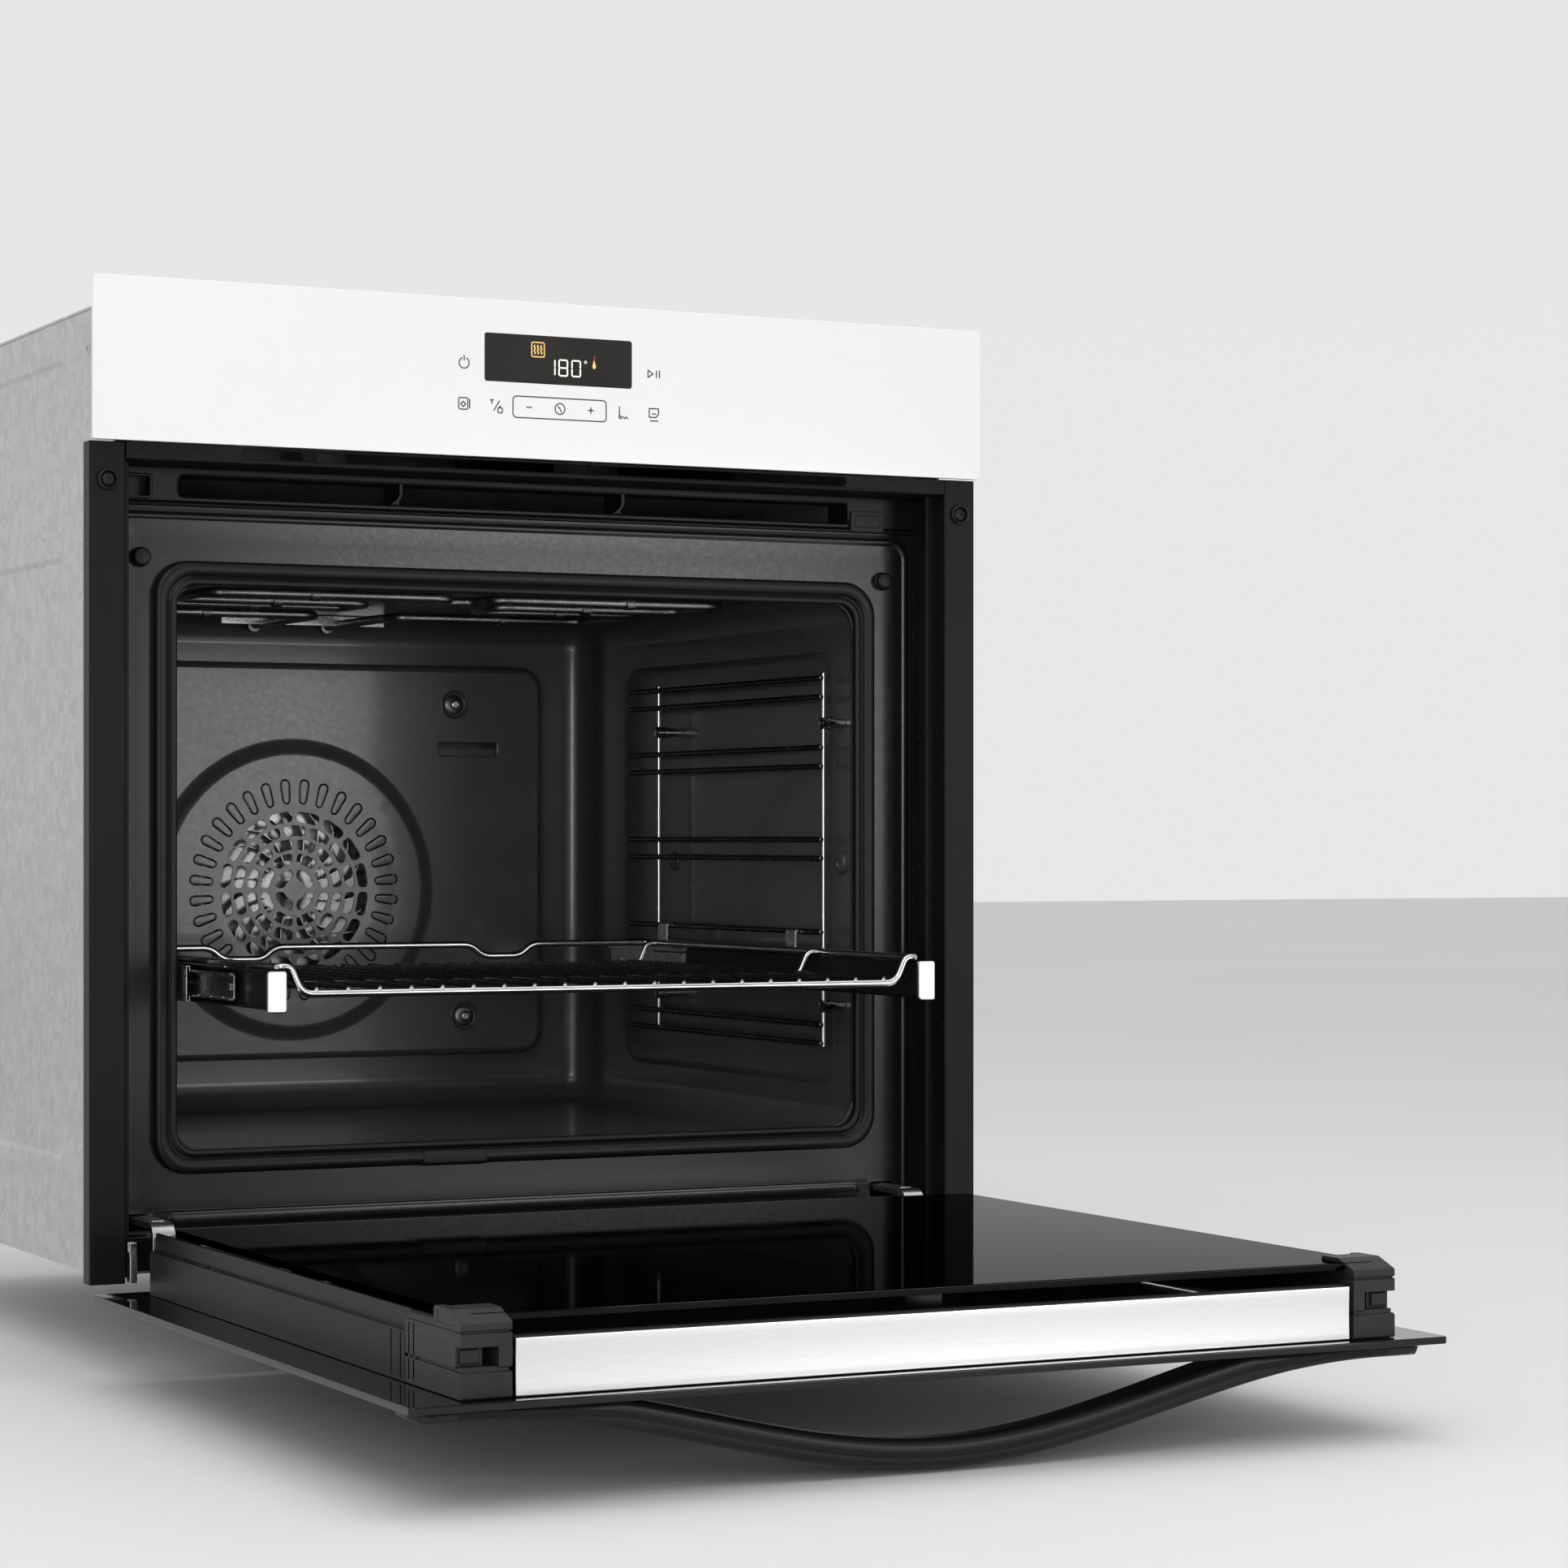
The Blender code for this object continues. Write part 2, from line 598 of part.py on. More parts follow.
def build_door():
    axis = empty("door_hinge_axis", world(0, HINGE_DEPTH, HINGE_HEIGHT))
    solid("door_outer_glass", boxes(door_box((-FRONT_HALF_W, 1.5, -PANE - 0.5),
                                             (FRONT_HALF_W, DOOR_LENGTH, -0.5))), "black_glass", axis)
    solid("door_middle_glass", boxes(door_box((-240, 50, 17), (240, 470, 20))), "clear_glass", axis)
    solid("door_inner_glass", boxes(door_box((-262, 45, INNER_PANE_LOW),
                                             (262, 476, INNER_PANE_LOW + PANE))), "black_glass", axis)
    rail = ((3, -0.2), (44, -0.2), (44, 2), (5, 2), (5, 33), (42, 33), (42, 35), (3, 35))
    solid("door_bottom_rail", extrusion(door_outline(rail), "x", -241, 241), "black_paint", axis)
    strip = ((470, -0.2), (483, -0.2), (483, 27.9), (470, 27.9), (470, 26.6), (481.6, 26.6),
             (481.6, 1.1), (470, 1.1))
    solid("door_trim_strip", extrusion(door_outline(strip), "x", -239.3, 239.3), "bright_strip", axis)
    for side, sign in (("left", -1), ("right", 1)):
        build_door_side(side, sign, axis)
    build_handle(axis)


SIDE_WALL_START = 20.0      # clear of the hinge arm
SIDE_WALL_END = 413.5        # just short of the end cap


def build_door_side(side, sign, axis):
    """The side profile, end cap and hinge of one side of the door."""
    profile = ((252, -0.2), (DOOR_HALF_W, -0.2), (DOOR_HALF_W, 25), (264.5, 26), (264.5, 35.2),
               (262.5, 35.2), (262.5, 1.3), (252, 1.3))
    ring = [(sign * x, above) for x, above in profile]
    bm = bmesh.new()
    rings = [[bm.verts.new((x, *door(along, above))) for x, above in ring]
             for along in (SIDE_WALL_START, SIDE_WALL_END)]
    bm.faces.new(rings[0])
    bm.faces.new(rings[1])
    bridge(bm, rings[0], rings[1])
    solid("door_side_profile_" + side, bm, "black_paint", axis)
    build_end_cap(side, sign, axis)
    housing = solid("hinge_body_" + side, boxes(door_box((sign * 244, 46, 1.6), (sign * 260, 190, 32))),
                    "zinc_steel", axis)
    combine(housing, boxes(door_box((sign * 246, 40, 4), (sign * 258, 188, 36))), "DIFFERENCE")
    arm = ((6, 5), (10, 5), (10, 38), (56, 38), (56, 42), (6, 42))
    solid("hinge_arm_" + side, extrusion(arm, "x", sign * 245, sign * 259), "zinc_steel")


def build_end_cap(side, sign, axis):
    """The moulded corner piece beside the trim strip, which clamps the inner pane."""
    outline = ((414, -0.2), (484, -0.2), (484, 36), (470.5, 41.5), (450, 41.5), (450, 34.8),
               (414, 34.8))
    cap = solid("door_end_cap_" + side, extrusion(door_outline(outline), "x", sign * CAP_INNER_X,
                                                  sign * DOOR_HALF_W), "grey_plastic", axis)
    pocket = door_box((sign * 230, 405, INNER_PANE_LOW - GAP),
                      (sign * 262.4, 476.4, INNER_PANE_LOW + PANE + GAP))
    notch = door_box((sign * 249, 477.5, 14), (sign * 275, 490, 24.8))
    slit = door_box((sign * 249, 465, 14), (sign * 253.6, 490, 24.8))
    combine(cap, boxes(pocket, notch, slit), "DIFFERENCE")


def build_handle(axis):
    """A bow that leaves the pane near both sides and stands furthest off in the middle."""
    bm = bmesh.new()
    stations = [-291 + 582 * i / 28 for i in range(29)]
    rings = []
    for x in stations:
        bend = 0.5 + 0.5 * math.cos(math.pi * x / 262) if abs(x) < 262 else 0.0
        low = -11.3 - HANDLE_DROP * bend
        high = min(-PANE - 0.5 - GAP, low + HANDLE_BAND)
        half_depth = 13.5 - 4 * bend
        section = rounded_rectangle(HANDLE_ALONG - half_depth, low, HANDLE_ALONG + half_depth, high,
                                    min(5.0, (high - low) * 0.4), 2)
        rings.append([bm.verts.new((x, *door(along, above))) for along, above in section])
    bm.faces.new(rings[0])
    bm.faces.new(rings[-1])
    for ring, other in zip(rings, rings[1:]):
        bridge(bm, ring, other)
    solid("door_handle", bm, "black_plastic", axis, smooth=True)


# ---------------------------------------------------------------- rails and rack

def rail_box(sign, inner_x, outer_x, front, back, low, high):
    return ((sign * inner_x, front, low), (sign * outer_x, back, high))


def build_rails(side, sign):
    """A three-part telescopic rail: one part on the grid and two that move."""
    fixed = solid("rail_fixed_" + side, boxes(rail_box(sign, 216.3, 219.3, 64, 395, 169, 190.5)),
                  "zinc_steel")
    tabs = [rail_box(sign, 217, 219.7, depth, depth + 14, 180, 207) for depth in (105, 300)]
    combine(fixed, boxes(*tabs), "UNION")
    half_out = empty("rail_middle_axis_" + side, world(sign * 214, 62 - RAIL_TRAVEL / 2, 180))
    middle = rail_box(sign, 212.3, 215.9, 62 - RAIL_TRAVEL / 2, 380 - RAIL_TRAVEL / 2, 172, 188)
    solid("rail_middle_" + side, boxes(middle), "zinc_steel", half_out)
    out = empty("rail_outer_axis_" + side, world(sign * 210, RAIL_OUT_FRONT, 180))
    outer = rail_box(sign, 207.5, 211.9, RAIL_OUT_FRONT, RAIL_OUT_FRONT + 325, RAIL_LOW, RAIL_HIGH)
    solid("rail_outer_" + side, boxes(outer), "black_paint", out)
    cap = rail_box(sign, 206.9, 218.4, RAIL_OUT_FRONT - 3, RAIL_OUT_FRONT - GAP, 167.5, 191.5)
    solid("rail_cap_" + side, boxes(cap), "bright_strip", out)


def rack_frame_path():
    """The closed outer rod: low across the front, over both rails and raised at the back."""
    x, front, back = RACK_SIDE_X, RACK_FRONT, RACK_BACK
    dips = []
    for centre in (-95.0, 95.0):
        dips += [(centre - 23, back, RACK_HIGH), (centre - 14, back, RACK_HIGH - 8),
                 (centre + 14, back, RACK_HIGH - 8), (centre + 23, back, RACK_HIGH)]
    return [(x, front, RACK_HIGH), (202, front, RACK_HIGH), (195, front, RACK_LOW),
            (-195, front, RACK_LOW), (-202, front, RACK_HIGH), (-x, front, RACK_HIGH),
            (-x, back, RACK_HIGH), *dips, (x, back, RACK_HIGH)]


def build_rack():
    axis = empty("rack_axis", world(0, (RACK_FRONT + RACK_BACK) / 2, RACK_LOW))
    frame = filleted(rack_frame_path(), 5, 1, closed=True)
    rack = solid("wire_rack", rod(frame, RACK_ROD, closed=True), "chrome_wire", axis)
    bm = bmesh.new()
    for depth in RACK_CROSS_DEPTHS:
        ends = [(209, RACK_HIGH), (200, RACK_HIGH), (193, RACK_LOW)]
        path = [(x, depth, z) for x, z in ends] + [(-x, depth, z) for x, z in reversed(ends)]
        add_rod(bm, path, RACK_CROSS_ROD)
    first = -WIRE_PITCH * (RACK_WIRES - 1) / 2
    for i in range(RACK_WIRES):
        x = first + WIRE_PITCH * i
        height = RACK_LOW + RACK_ROD + 0.4
        add_rod(bm, [(x, RACK_FRONT - 1.2, height), (x, 297.5, height)], 1.25, 4)
    combine(rack, bm, "UNION")


# ---------------------------------------------------------------- the whole oven

def build_oven():
    clear_scene()
    build_casing()
    build_front()
    build_gasket()
    build_fascia()
    build_cavity()
    build_side_grid("side_grid_left", -1)
    build_side_grid("side_grid_right", 1)
    build_convection_fan()
    build_cooling()
    build_door()
    build_rails("left", -1)
    build_rails("right", 1)
    build_rack()


build_oven()
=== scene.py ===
"""The look of a built-in wall oven: its front, cavity, drop-down door, rails and wire rack.

Lengths are in millimetres in the fitter's coordinates: x from the centre line, depth behind the
front face of the control fascia and height above the lower edge of the front. at() turns them
into the frame's metres, and span() reads a CAD node's box in the same coordinates.
"""
import json
import math

import bmesh
import bpy
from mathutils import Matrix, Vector
from mathutils.geometry import delaunay_2d_cdt


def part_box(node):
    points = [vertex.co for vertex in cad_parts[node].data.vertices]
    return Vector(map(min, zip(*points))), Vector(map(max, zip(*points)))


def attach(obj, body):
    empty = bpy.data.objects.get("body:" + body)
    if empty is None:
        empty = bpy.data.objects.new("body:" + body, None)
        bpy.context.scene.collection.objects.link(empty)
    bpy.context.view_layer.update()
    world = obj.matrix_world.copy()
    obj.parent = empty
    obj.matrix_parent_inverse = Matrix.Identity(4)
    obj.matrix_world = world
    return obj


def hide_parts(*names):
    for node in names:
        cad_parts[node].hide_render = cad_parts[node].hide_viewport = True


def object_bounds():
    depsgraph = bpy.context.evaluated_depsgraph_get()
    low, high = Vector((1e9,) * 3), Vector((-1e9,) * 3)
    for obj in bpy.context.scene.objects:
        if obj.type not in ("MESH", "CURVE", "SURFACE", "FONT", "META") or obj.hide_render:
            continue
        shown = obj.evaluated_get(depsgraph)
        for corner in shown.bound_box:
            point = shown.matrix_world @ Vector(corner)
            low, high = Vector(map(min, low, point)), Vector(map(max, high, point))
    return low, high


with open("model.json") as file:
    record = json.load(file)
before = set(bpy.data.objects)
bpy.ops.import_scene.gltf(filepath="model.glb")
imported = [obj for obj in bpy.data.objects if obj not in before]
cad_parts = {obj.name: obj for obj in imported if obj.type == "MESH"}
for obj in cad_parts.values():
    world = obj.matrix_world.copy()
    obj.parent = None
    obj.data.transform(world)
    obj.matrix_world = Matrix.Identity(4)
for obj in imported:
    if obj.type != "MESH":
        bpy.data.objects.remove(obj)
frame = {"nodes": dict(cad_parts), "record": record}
CAD_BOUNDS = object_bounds()

FASCIA_LOW, FASCIA_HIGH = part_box("control_fascia")
FASCIA_BOTTOM = 499.0     # height of the fascia's lower edge above the lower edge of the front
SIDES = (("left", -1), ("right", 1))
FAN_CENTRE = (0.0, 230.0)               # x and height of the hot-air fan's axis
CABLE_ENTRY = (200, 540)                # x and height of the cable's hole in the back
GRID_FRONT, GRID_REAR = 80.0, 329.0     # depths of the side grids' posts
HINGE_DEPTH, HINGE_HEIGHT = 4.5, 3.5    # the door's axis


def at(x, depth, height):
    """A point in the frame's metres."""
    return Vector((x / 1000, FASCIA_LOW.y + depth / 1000,
                   FASCIA_LOW.z + (height - FASCIA_BOTTOM) / 1000))


def span(*nodes):
    """Lowest and highest corner of some CAD nodes, in fitting millimetres."""
    corners = [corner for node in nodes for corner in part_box(node)]
    low = [min(c[i] for c in corners) for i in range(3)]
    high = [max(c[i] for c in corners) for i in range(3)]
    lift = FASCIA_BOTTOM - FASCIA_LOW.z * 1000
    return (Vector((low[0] * 1000, (low[1] - FASCIA_LOW.y) * 1000, low[2] * 1000 + lift)),
            Vector((high[0] * 1000, (high[1] - FASCIA_LOW.y) * 1000, high[2] * 1000 + lift)))


# ---------------------------------------------------------------- materials

def nodes_of(name):
    material = bpy.data.materials.new(name)
    material.use_nodes = True
    tree = material.node_tree
    shader = tree.nodes["Principled BSDF"]
    return material, tree, shader


def add_node(tree, kind, **values):
    """A node with its settings: a name starting with a capital letter or digit is a socket."""
    node = tree.nodes.new(kind)
    for key, value in values.items():
        if key[0].isupper() or key[0].isdigit():
            node.inputs[int(key) if key.isdigit() else key.replace("_", " ")].default_value = value
        else:
            setattr(node, key, value)
    return node


def grain(tree, stretch=(1, 1, 1)):
    """Object coordinates in metres, stretched."""
    place = add_node(tree, "ShaderNodeTexCoord")
    mapping = add_node(tree, "ShaderNodeMapping", Scale=stretch)
    tree.links.new(place.outputs["Object"], mapping.inputs["Vector"])
    return mapping.outputs["Vector"]


def noise(tree, vector, scale, detail=2.0, rough=0.5):
    node = add_node(tree, "ShaderNodeTexNoise", Scale=scale, Detail=detail, Roughness=rough)
    tree.links.new(vector, node.inputs["Vector"])
    return node.outputs["Fac"]


def remap(tree, value, low, high, start=0.3, stop=0.7):
    node = add_node(tree, "ShaderNodeMapRange", From_Min=start, From_Max=stop,
                    To_Min=low, To_Max=high)
    tree.links.new(value, node.inputs["Value"])
    return node.outputs["Result"]


def mixed(tree, factor, first, second):
    node = add_node(tree, "ShaderNodeMix", data_type="RGBA")
    for socket, colour in ((node.inputs[6], first), (node.inputs[7], second)):
        if isinstance(colour, tuple):
            socket.default_value = (*colour, 1.0)
        else:
            tree.links.new(colour, socket)
    tree.links.new(factor, node.inputs[0])
    return node.outputs[2]


def bumped(tree, shader, height, strength, distance, before=None):
    node = add_node(tree, "ShaderNodeBump", Strength=strength, Distance=distance)
    tree.links.new(height, node.inputs["Height"])
    if before:
        tree.links.new(before, node.inputs["Normal"])
    tree.links.new(node.outputs["Normal"], shader.inputs["Normal"])
    return node.outputs["Normal"]


def surface(name, light, dark, rough, metallic=0.0, coat=0.0, coat_rough=0.03, patch=14.0,
            fine=900.0, strength=0.08, distance=0.0002, stretch=(1, 1, 1), specks=None, shine=0.5):
    """A finish that wanders between two colours and two roughnesses, over a fine relief."""
    material, tree, shader = nodes_of(name)
    vector = grain(tree, stretch)
    wide = noise(tree, vector, patch, 3.0)
    close = noise(tree, vector, fine, 2.0, 0.6)
    colour = mixed(tree, remap(tree, wide, 0.0, 1.0), dark, light)
    if specks:
        fleck = noise(tree, vector, specks[0], 0.0)
        colour = mixed(tree, remap(tree, fleck, 0.0, 1.0, specks[1], specks[1] + 0.03),
                       colour, specks[2])
    tree.links.new(colour, shader.inputs["Base Color"])
    tree.links.new(remap(tree, close, rough[0], rough[1]), shader.inputs["Roughness"])
    shader.inputs["Metallic"].default_value = metallic
    shader.inputs["Specular IOR Level"].default_value = shine
    shader.inputs["Coat Weight"].default_value = coat
    shader.inputs["Coat Roughness"].default_value = coat_rough
    bumped(tree, shader, close, strength, distance)
    return material


def mirror_glass(name):
    """Black-backed coated glass: hardly any reflection, even at a low angle."""
    material, tree, shader = nodes_of(name)
    vector = grain(tree)
    marks = noise(tree, vector, 30.0, 4.0)
    tree.links.new(mixed(tree, remap(tree, marks, 0.0, 1.0), (0.010, 0.010, 0.011),
                         (0.014, 0.014, 0.015)), shader.inputs["Base Color"])
    tree.links.new(remap(tree, marks, 0.03, 0.06), shader.inputs["Roughness"])
    shader.inputs["Metallic"].default_value = 1.0
    shader.inputs["Specular Tint"].default_value = (0.08, 0.08, 0.083, 1.0)
    return material


def zinc_sheet():
    """Hot-dipped sheet with its flat crystals, each with a shade and a gloss of its own."""
    material, tree, shader = nodes_of("zinc_sheet")
    vector = grain(tree)
    warp = add_node(tree, "ShaderNodeTexNoise", Scale=60.0, Detail=2.0)
    tree.links.new(vector, warp.inputs["Vector"])
    moved = add_node(tree, "ShaderNodeMix", data_type="VECTOR")
    moved.inputs[0].default_value = 0.02
    tree.links.new(vector, moved.inputs[4])
    tree.links.new(warp.outputs["Color"], moved.inputs[5])
    crystal = add_node(tree, "ShaderNodeTexVoronoi", Scale=150.0)
    tree.links.new(moved.outputs[1], crystal.inputs["Vector"])
    shade = add_node(tree, "ShaderNodeSeparateColor")
    tree.links.new(crystal.outputs["Color"], shade.inputs[0])
    colour = mixed(tree, shade.outputs[0], (0.47, 0.48, 0.49), (0.56, 0.57, 0.58))
    tree.links.new(colour, shader.inputs["Base Color"])
    tree.links.new(remap(tree, shade.outputs[1], 0.34, 0.42, 0.0, 1.0), shader.inputs["Roughness"])
    shader.inputs["Metallic"].default_value = 0.9
    bumped(tree, shader, noise(tree, vector, 420.0), 0.05, 0.0003)
    return material


def fibre_wool():
    material, tree, shader = nodes_of("fibre_wool")
    vector = grain(tree, (1, 6, 1))
    coarse = noise(tree, vector, 70.0, 6.0, 0.7)
    fibre = noise(tree, vector, 420.0, 4.0, 0.7)
    colour = mixed(tree, remap(tree, fibre, 0.0, 1.0), (0.33, 0.29, 0.18), (0.62, 0.58, 0.44))
    tree.links.new(colour, shader.inputs["Base Color"])
    shader.inputs["Roughness"].default_value = 0.95
    first = bumped(tree, shader, coarse, 0.8, 0.004)
    bumped(tree, shader, fibre, 0.7, 0.001, first)
    return material


def board_laminate():
    material, tree, shader = nodes_of("board_laminate")
    vector = grain(tree)
    bricks = add_node(tree, "ShaderNodeTexBrick", Scale=160.0, Color1=(0.02, 0.13, 0.05, 1),
                      Color2=(0.03, 0.18, 0.07, 1), Mortar=(0.25, 0.20, 0.06, 1))
    tree.links.new(vector, bricks.inputs["Vector"])
    tree.links.new(bricks.outputs["Color"], shader.inputs["Base Color"])
    tree.links.new(remap(tree, noise(tree, vector, 300.0), 0.3, 0.5), shader.inputs["Roughness"])
    bumped(tree, shader, bricks.outputs["Fac"], 0.3, 0.0002)
    return material


def clear_pane(name, tint, weight=0.9, rough=(0.0, 0.03), glow=0.0):
    """See-through glass with a trace of handling marks."""
    material, tree, shader = nodes_of(name)
    vector = grain(tree)
    marks = noise(tree, vector, 35.0, 5.0)
    tree.links.new(mixed(tree, remap(tree, marks, 0.0, 1.0), tint, tuple(c * 0.92 for c in tint)),
                   shader.inputs["Base Color"])
    tree.links.new(remap(tree, marks, *rough), shader.inputs["Roughness"])
    shader.inputs["Transmission Weight"].default_value = weight
    shader.inputs["IOR"].default_value = 1.5
    if glow:
        shader.inputs["Emission Color"].default_value = (1.0, 0.93, 0.80, 1.0)
        shader.inputs["Emission Strength"].default_value = glow
    return material


def lit_print(name, colour, strength, uneven=0.25):
    """A display segment that glows, a little unevenly."""
    material, tree, shader = nodes_of(name)
    level = remap(tree, noise(tree, grain(tree), 700.0), strength * (1 - uneven), strength)
    shader.inputs["Base Color"].default_value = (*colour, 1.0)
    shader.inputs["Roughness"].default_value = 0.4
    shader.inputs["Emission Color"].default_value = (*colour, 1.0)
    tree.links.new(level, shader.inputs["Emission Strength"])
    return material


SURFACES = {         # finish: light and dark colour, roughness from and to, other settings
    "white_glass": ((0.93, 0.93, 0.933), (0.91, 0.91, 0.915), (0.20, 0.26),
        dict(coat=1.0, coat_rough=0.06, patch=5.0, fine=120.0, strength=0.01)),
    "glass_edge": ((0.62, 0.68, 0.66), (0.52, 0.60, 0.57), (0.18, 0.3),
        dict(coat=0.6, patch=40.0, fine=600.0, strength=0.05)),
    "black_glass": ((0.006, 0.006, 0.007), (0.004, 0.004, 0.005), (0.015, 0.05),
        dict(patch=6.0, fine=60.0, strength=0.004, shine=0.35)),
    "dark_glass_edge": ((0.016, 0.020, 0.019), (0.010, 0.013, 0.012), (0.3, 0.45),
        dict(patch=50.0, fine=500.0, shine=0.2)),
    "display_glass": ((0.034, 0.032, 0.029), (0.026, 0.024, 0.022), (0.06, 0.10),
        dict(patch=20.0, fine=200.0, strength=0.005, shine=0.3)),
    "black_enamel": ((0.0085, 0.0085, 0.009), (0.006, 0.006, 0.0065), (0.20, 0.27),
        dict(patch=9.0, fine=300.0, strength=0.012, shine=0.45,
             specks=(2600.0, 0.75, (0.03, 0.03, 0.032)))),
    "cavity_enamel": ((0.070, 0.070, 0.071), (0.056, 0.056, 0.057), (0.27, 0.34),
        dict(coat=0.25, coat_rough=0.10, patch=7.0, fine=260.0, strength=0.012)),
    "black_paint": ((0.009, 0.009, 0.0094), (0.006, 0.006, 0.0064), (0.34, 0.46),
        dict(patch=12.0, fine=1500.0, strength=0.08, distance=0.0001, shine=0.16)),
    "black_plastic": ((0.009, 0.009, 0.0095), (0.006, 0.006, 0.0065), (0.32, 0.45),
        dict(patch=16.0, fine=2200.0, strength=0.1, distance=0.0001, shine=0.3)),
    "grey_plastic": ((0.020, 0.020, 0.021), (0.015, 0.015, 0.016), (0.40, 0.52),
        dict(patch=18.0, fine=2400.0, strength=0.2, distance=0.00012, shine=0.3)),
    "plated_steel": ((0.60, 0.60, 0.61), (0.48, 0.48, 0.50), (0.22, 0.34),
        dict(metallic=1.0, patch=30.0, fine=900.0, strength=0.06)),
    "chrome_wire": ((0.66, 0.65, 0.64), (0.50, 0.49, 0.48), (0.10, 0.22),
        dict(metallic=1.0, patch=24.0, fine=700.0, strength=0.04)),
    # chrome_wire_painted_shade: the same chrome as chrome_wire, darkened to paint the shade and the
    # dark reflections of the cavity on the rungs and deck wires.
    "chrome_wire_painted_shade": ((0.13, 0.127, 0.12), (0.08, 0.078, 0.074), (0.22, 0.36),
        dict(metallic=1.0, patch=24.0, fine=700.0, strength=0.05)),
    "bright_strip": ((0.80, 0.80, 0.805), (0.76, 0.76, 0.77), (0.26, 0.32),
        dict(metallic=1.0, patch=6.0, fine=900.0, strength=0.015, stretch=(0.02, 1, 1))),
    "element_steel": ((0.31, 0.306, 0.302), (0.18, 0.177, 0.174), (0.24, 0.40),
        dict(metallic=1.0, patch=28.0, fine=1100.0, strength=0.08)),
    "gasket_rubber": ((0.007, 0.007, 0.007), (0.005, 0.005, 0.005), (0.34, 0.5),
        dict(patch=30.0, fine=1300.0, strength=0.08, shine=0.3)),
    "print_grey": ((0.055, 0.055, 0.057), (0.04, 0.04, 0.042), (0.3, 0.4),
        dict(patch=300.0, fine=2000.0, strength=0.02)),
}


def build_materials():
    made = {name: surface(name, *basis, **more) for name, (*basis, more) in SURFACES.items()}
    made["printed_glass"] = mirror_glass("printed_glass")
    made["clear_glass"] = clear_pane("clear_glass", (0.86, 0.90, 0.88))
    made["lamp_glass"] = clear_pane("lamp_glass", (0.95, 0.94, 0.90), 0.35, (0.12, 0.3), 0.25)
    made["zinc_steel"] = zinc_sheet()
    made["mineral_wool"] = fibre_wool()
    made["circuit_board"] = board_laminate()
    for name, colour, strength in (("lit_white", (0.80, 0.80, 0.74), 0.55),
                                   ("lit_amber", (0.80, 0.52, 0.17), 0.45),
                                   ("lit_red", (0.35, 0.03, 0.02), 0.12)):
        made[name] = lit_print(name, colour, strength)
    return made


MATERIALS = build_materials()


# ---------------------------------------------------------------- shapes, as bmesh

def on_axis(axis, a, b, along):
    return {"x": (along, a, b), "depth": (a, along, b), "height": (a, b, along)}[axis]


def half_widths(low, high):
    """The inner and outer distance from the centre line of a box on one side of it."""
    return sorted((abs(low.x), abs(high.x)))


def bridge(bm, ring, other, slot=0):
    count = len(ring)
    for i in range(count):
        j = (i + 1) % count
        bm.faces.new((ring[i], ring[j], other[j], other[i])).material_index = slot


def cap(bm, ring, slot=0):
    bm.faces.new(ring).material_index = slot


def loft(bm, rings, closed=False, caps=True, slot=0):
    """Join rings of points, each with the same number; closed makes a ring of the rings."""
    rows = [[bm.verts.new(p) for p in ring] for ring in rings]
    for ring, other in zip(rows, rows[1:] + (rows[:1] if closed else [])):
        bridge(bm, ring, other, slot)
    if caps and not closed:
        cap(bm, rows[0], slot)
        cap(bm, rows[-1], slot)
    return rows


def block(bm, low, high, slot=0):
    low, high = [min(p) for p in zip(low, high)], [max(p) for p in zip(low, high)]
    prism(bm, ((low[0], low[1]), (high[0], low[1]), (high[0], high[1]), (low[0], high[1])),
          "height", low[2], high[2], slot)


def prism(bm, outline, axis, start, stop, slot=0):
    """A closed outline pulled straight along an axis."""
    stack(bm, axis, [(outline, start), (outline, stop)], slot=slot)


def stack(bm, axis, layers, **how):
    """Loft (outline, place along the axis) layers."""
    return loft(bm, [[on_axis(axis, a, b, place) for a, b in outline] for outline, place in layers],
                **how)


def turned_ring(bm, axis, centre, section, count):
    """A closed ring from a section of (radius, place along the axis) points."""
    stack(bm, axis, [(circle(centre, radius, count), place) for radius, place in section],
          closed=True)


def polar(centre, radius, angle):
    """A point at a distance from a centre, at an angle in degrees."""
    return (centre[0] + radius * math.cos(math.radians(angle)),
            centre[1] + radius * math.sin(math.radians(angle)))


def turned(points, centre, turn):
    """Points turned by an angle in degrees, then moved to a centre."""
    c, s = math.cos(math.radians(turn)), math.sin(math.radians(turn))
    return [(centre[0] + a * c - b * s, centre[1] + a * s + b * c) for a, b in points]


def rounded(left, low, right, high, radius, steps=6):
    """A rectangle with rounded corners."""
    centres = ((right - radius, high - radius, 0), (left + radius, high - radius, 90),
               (left + radius, low + radius, 180), (right - radius, low + radius, 270))
    return [polar((x, z), radius, first + 90 * step / steps)
            for x, z, first in centres for step in range(steps + 1)]


def circle(centre, radius, count):
    return [(centre[0] + radius * math.cos(2 * math.pi * i / count),
             centre[1] + radius * math.sin(2 * math.pi * i / count)) for i in range(count)]


def lathe(bm, profile, axis, centre, segments=40, slot=0):
    """A profile of (radius, place along the axis) turned about it; a radius of 0 closes it."""
    rows = [[bm.verts.new(on_axis(axis, *p, along)) for p in
             (circle(centre, radius, segments) if radius else [centre])] for radius, along in profile]
    for ring, other in zip(rows, rows[1:]):
        if len(ring) > 1 and len(other) > 1:
            bridge(bm, ring, other, slot)
            continue
        tip, rim = (ring[0], other) if len(ring) == 1 else (other[0], ring)
        for i in range(segments):
            bm.faces.new((tip, rim[i], rim[(i + 1) % segments])).material_index = slot


def stud(bm, axis, centre, base, way, section, segments, slot=0):
    """A turned shape from (radius, out) points, out being measured from a base towards way."""
    lathe(bm, [(radius, base + way * out) for radius, out in section], axis, centre, segments, slot)


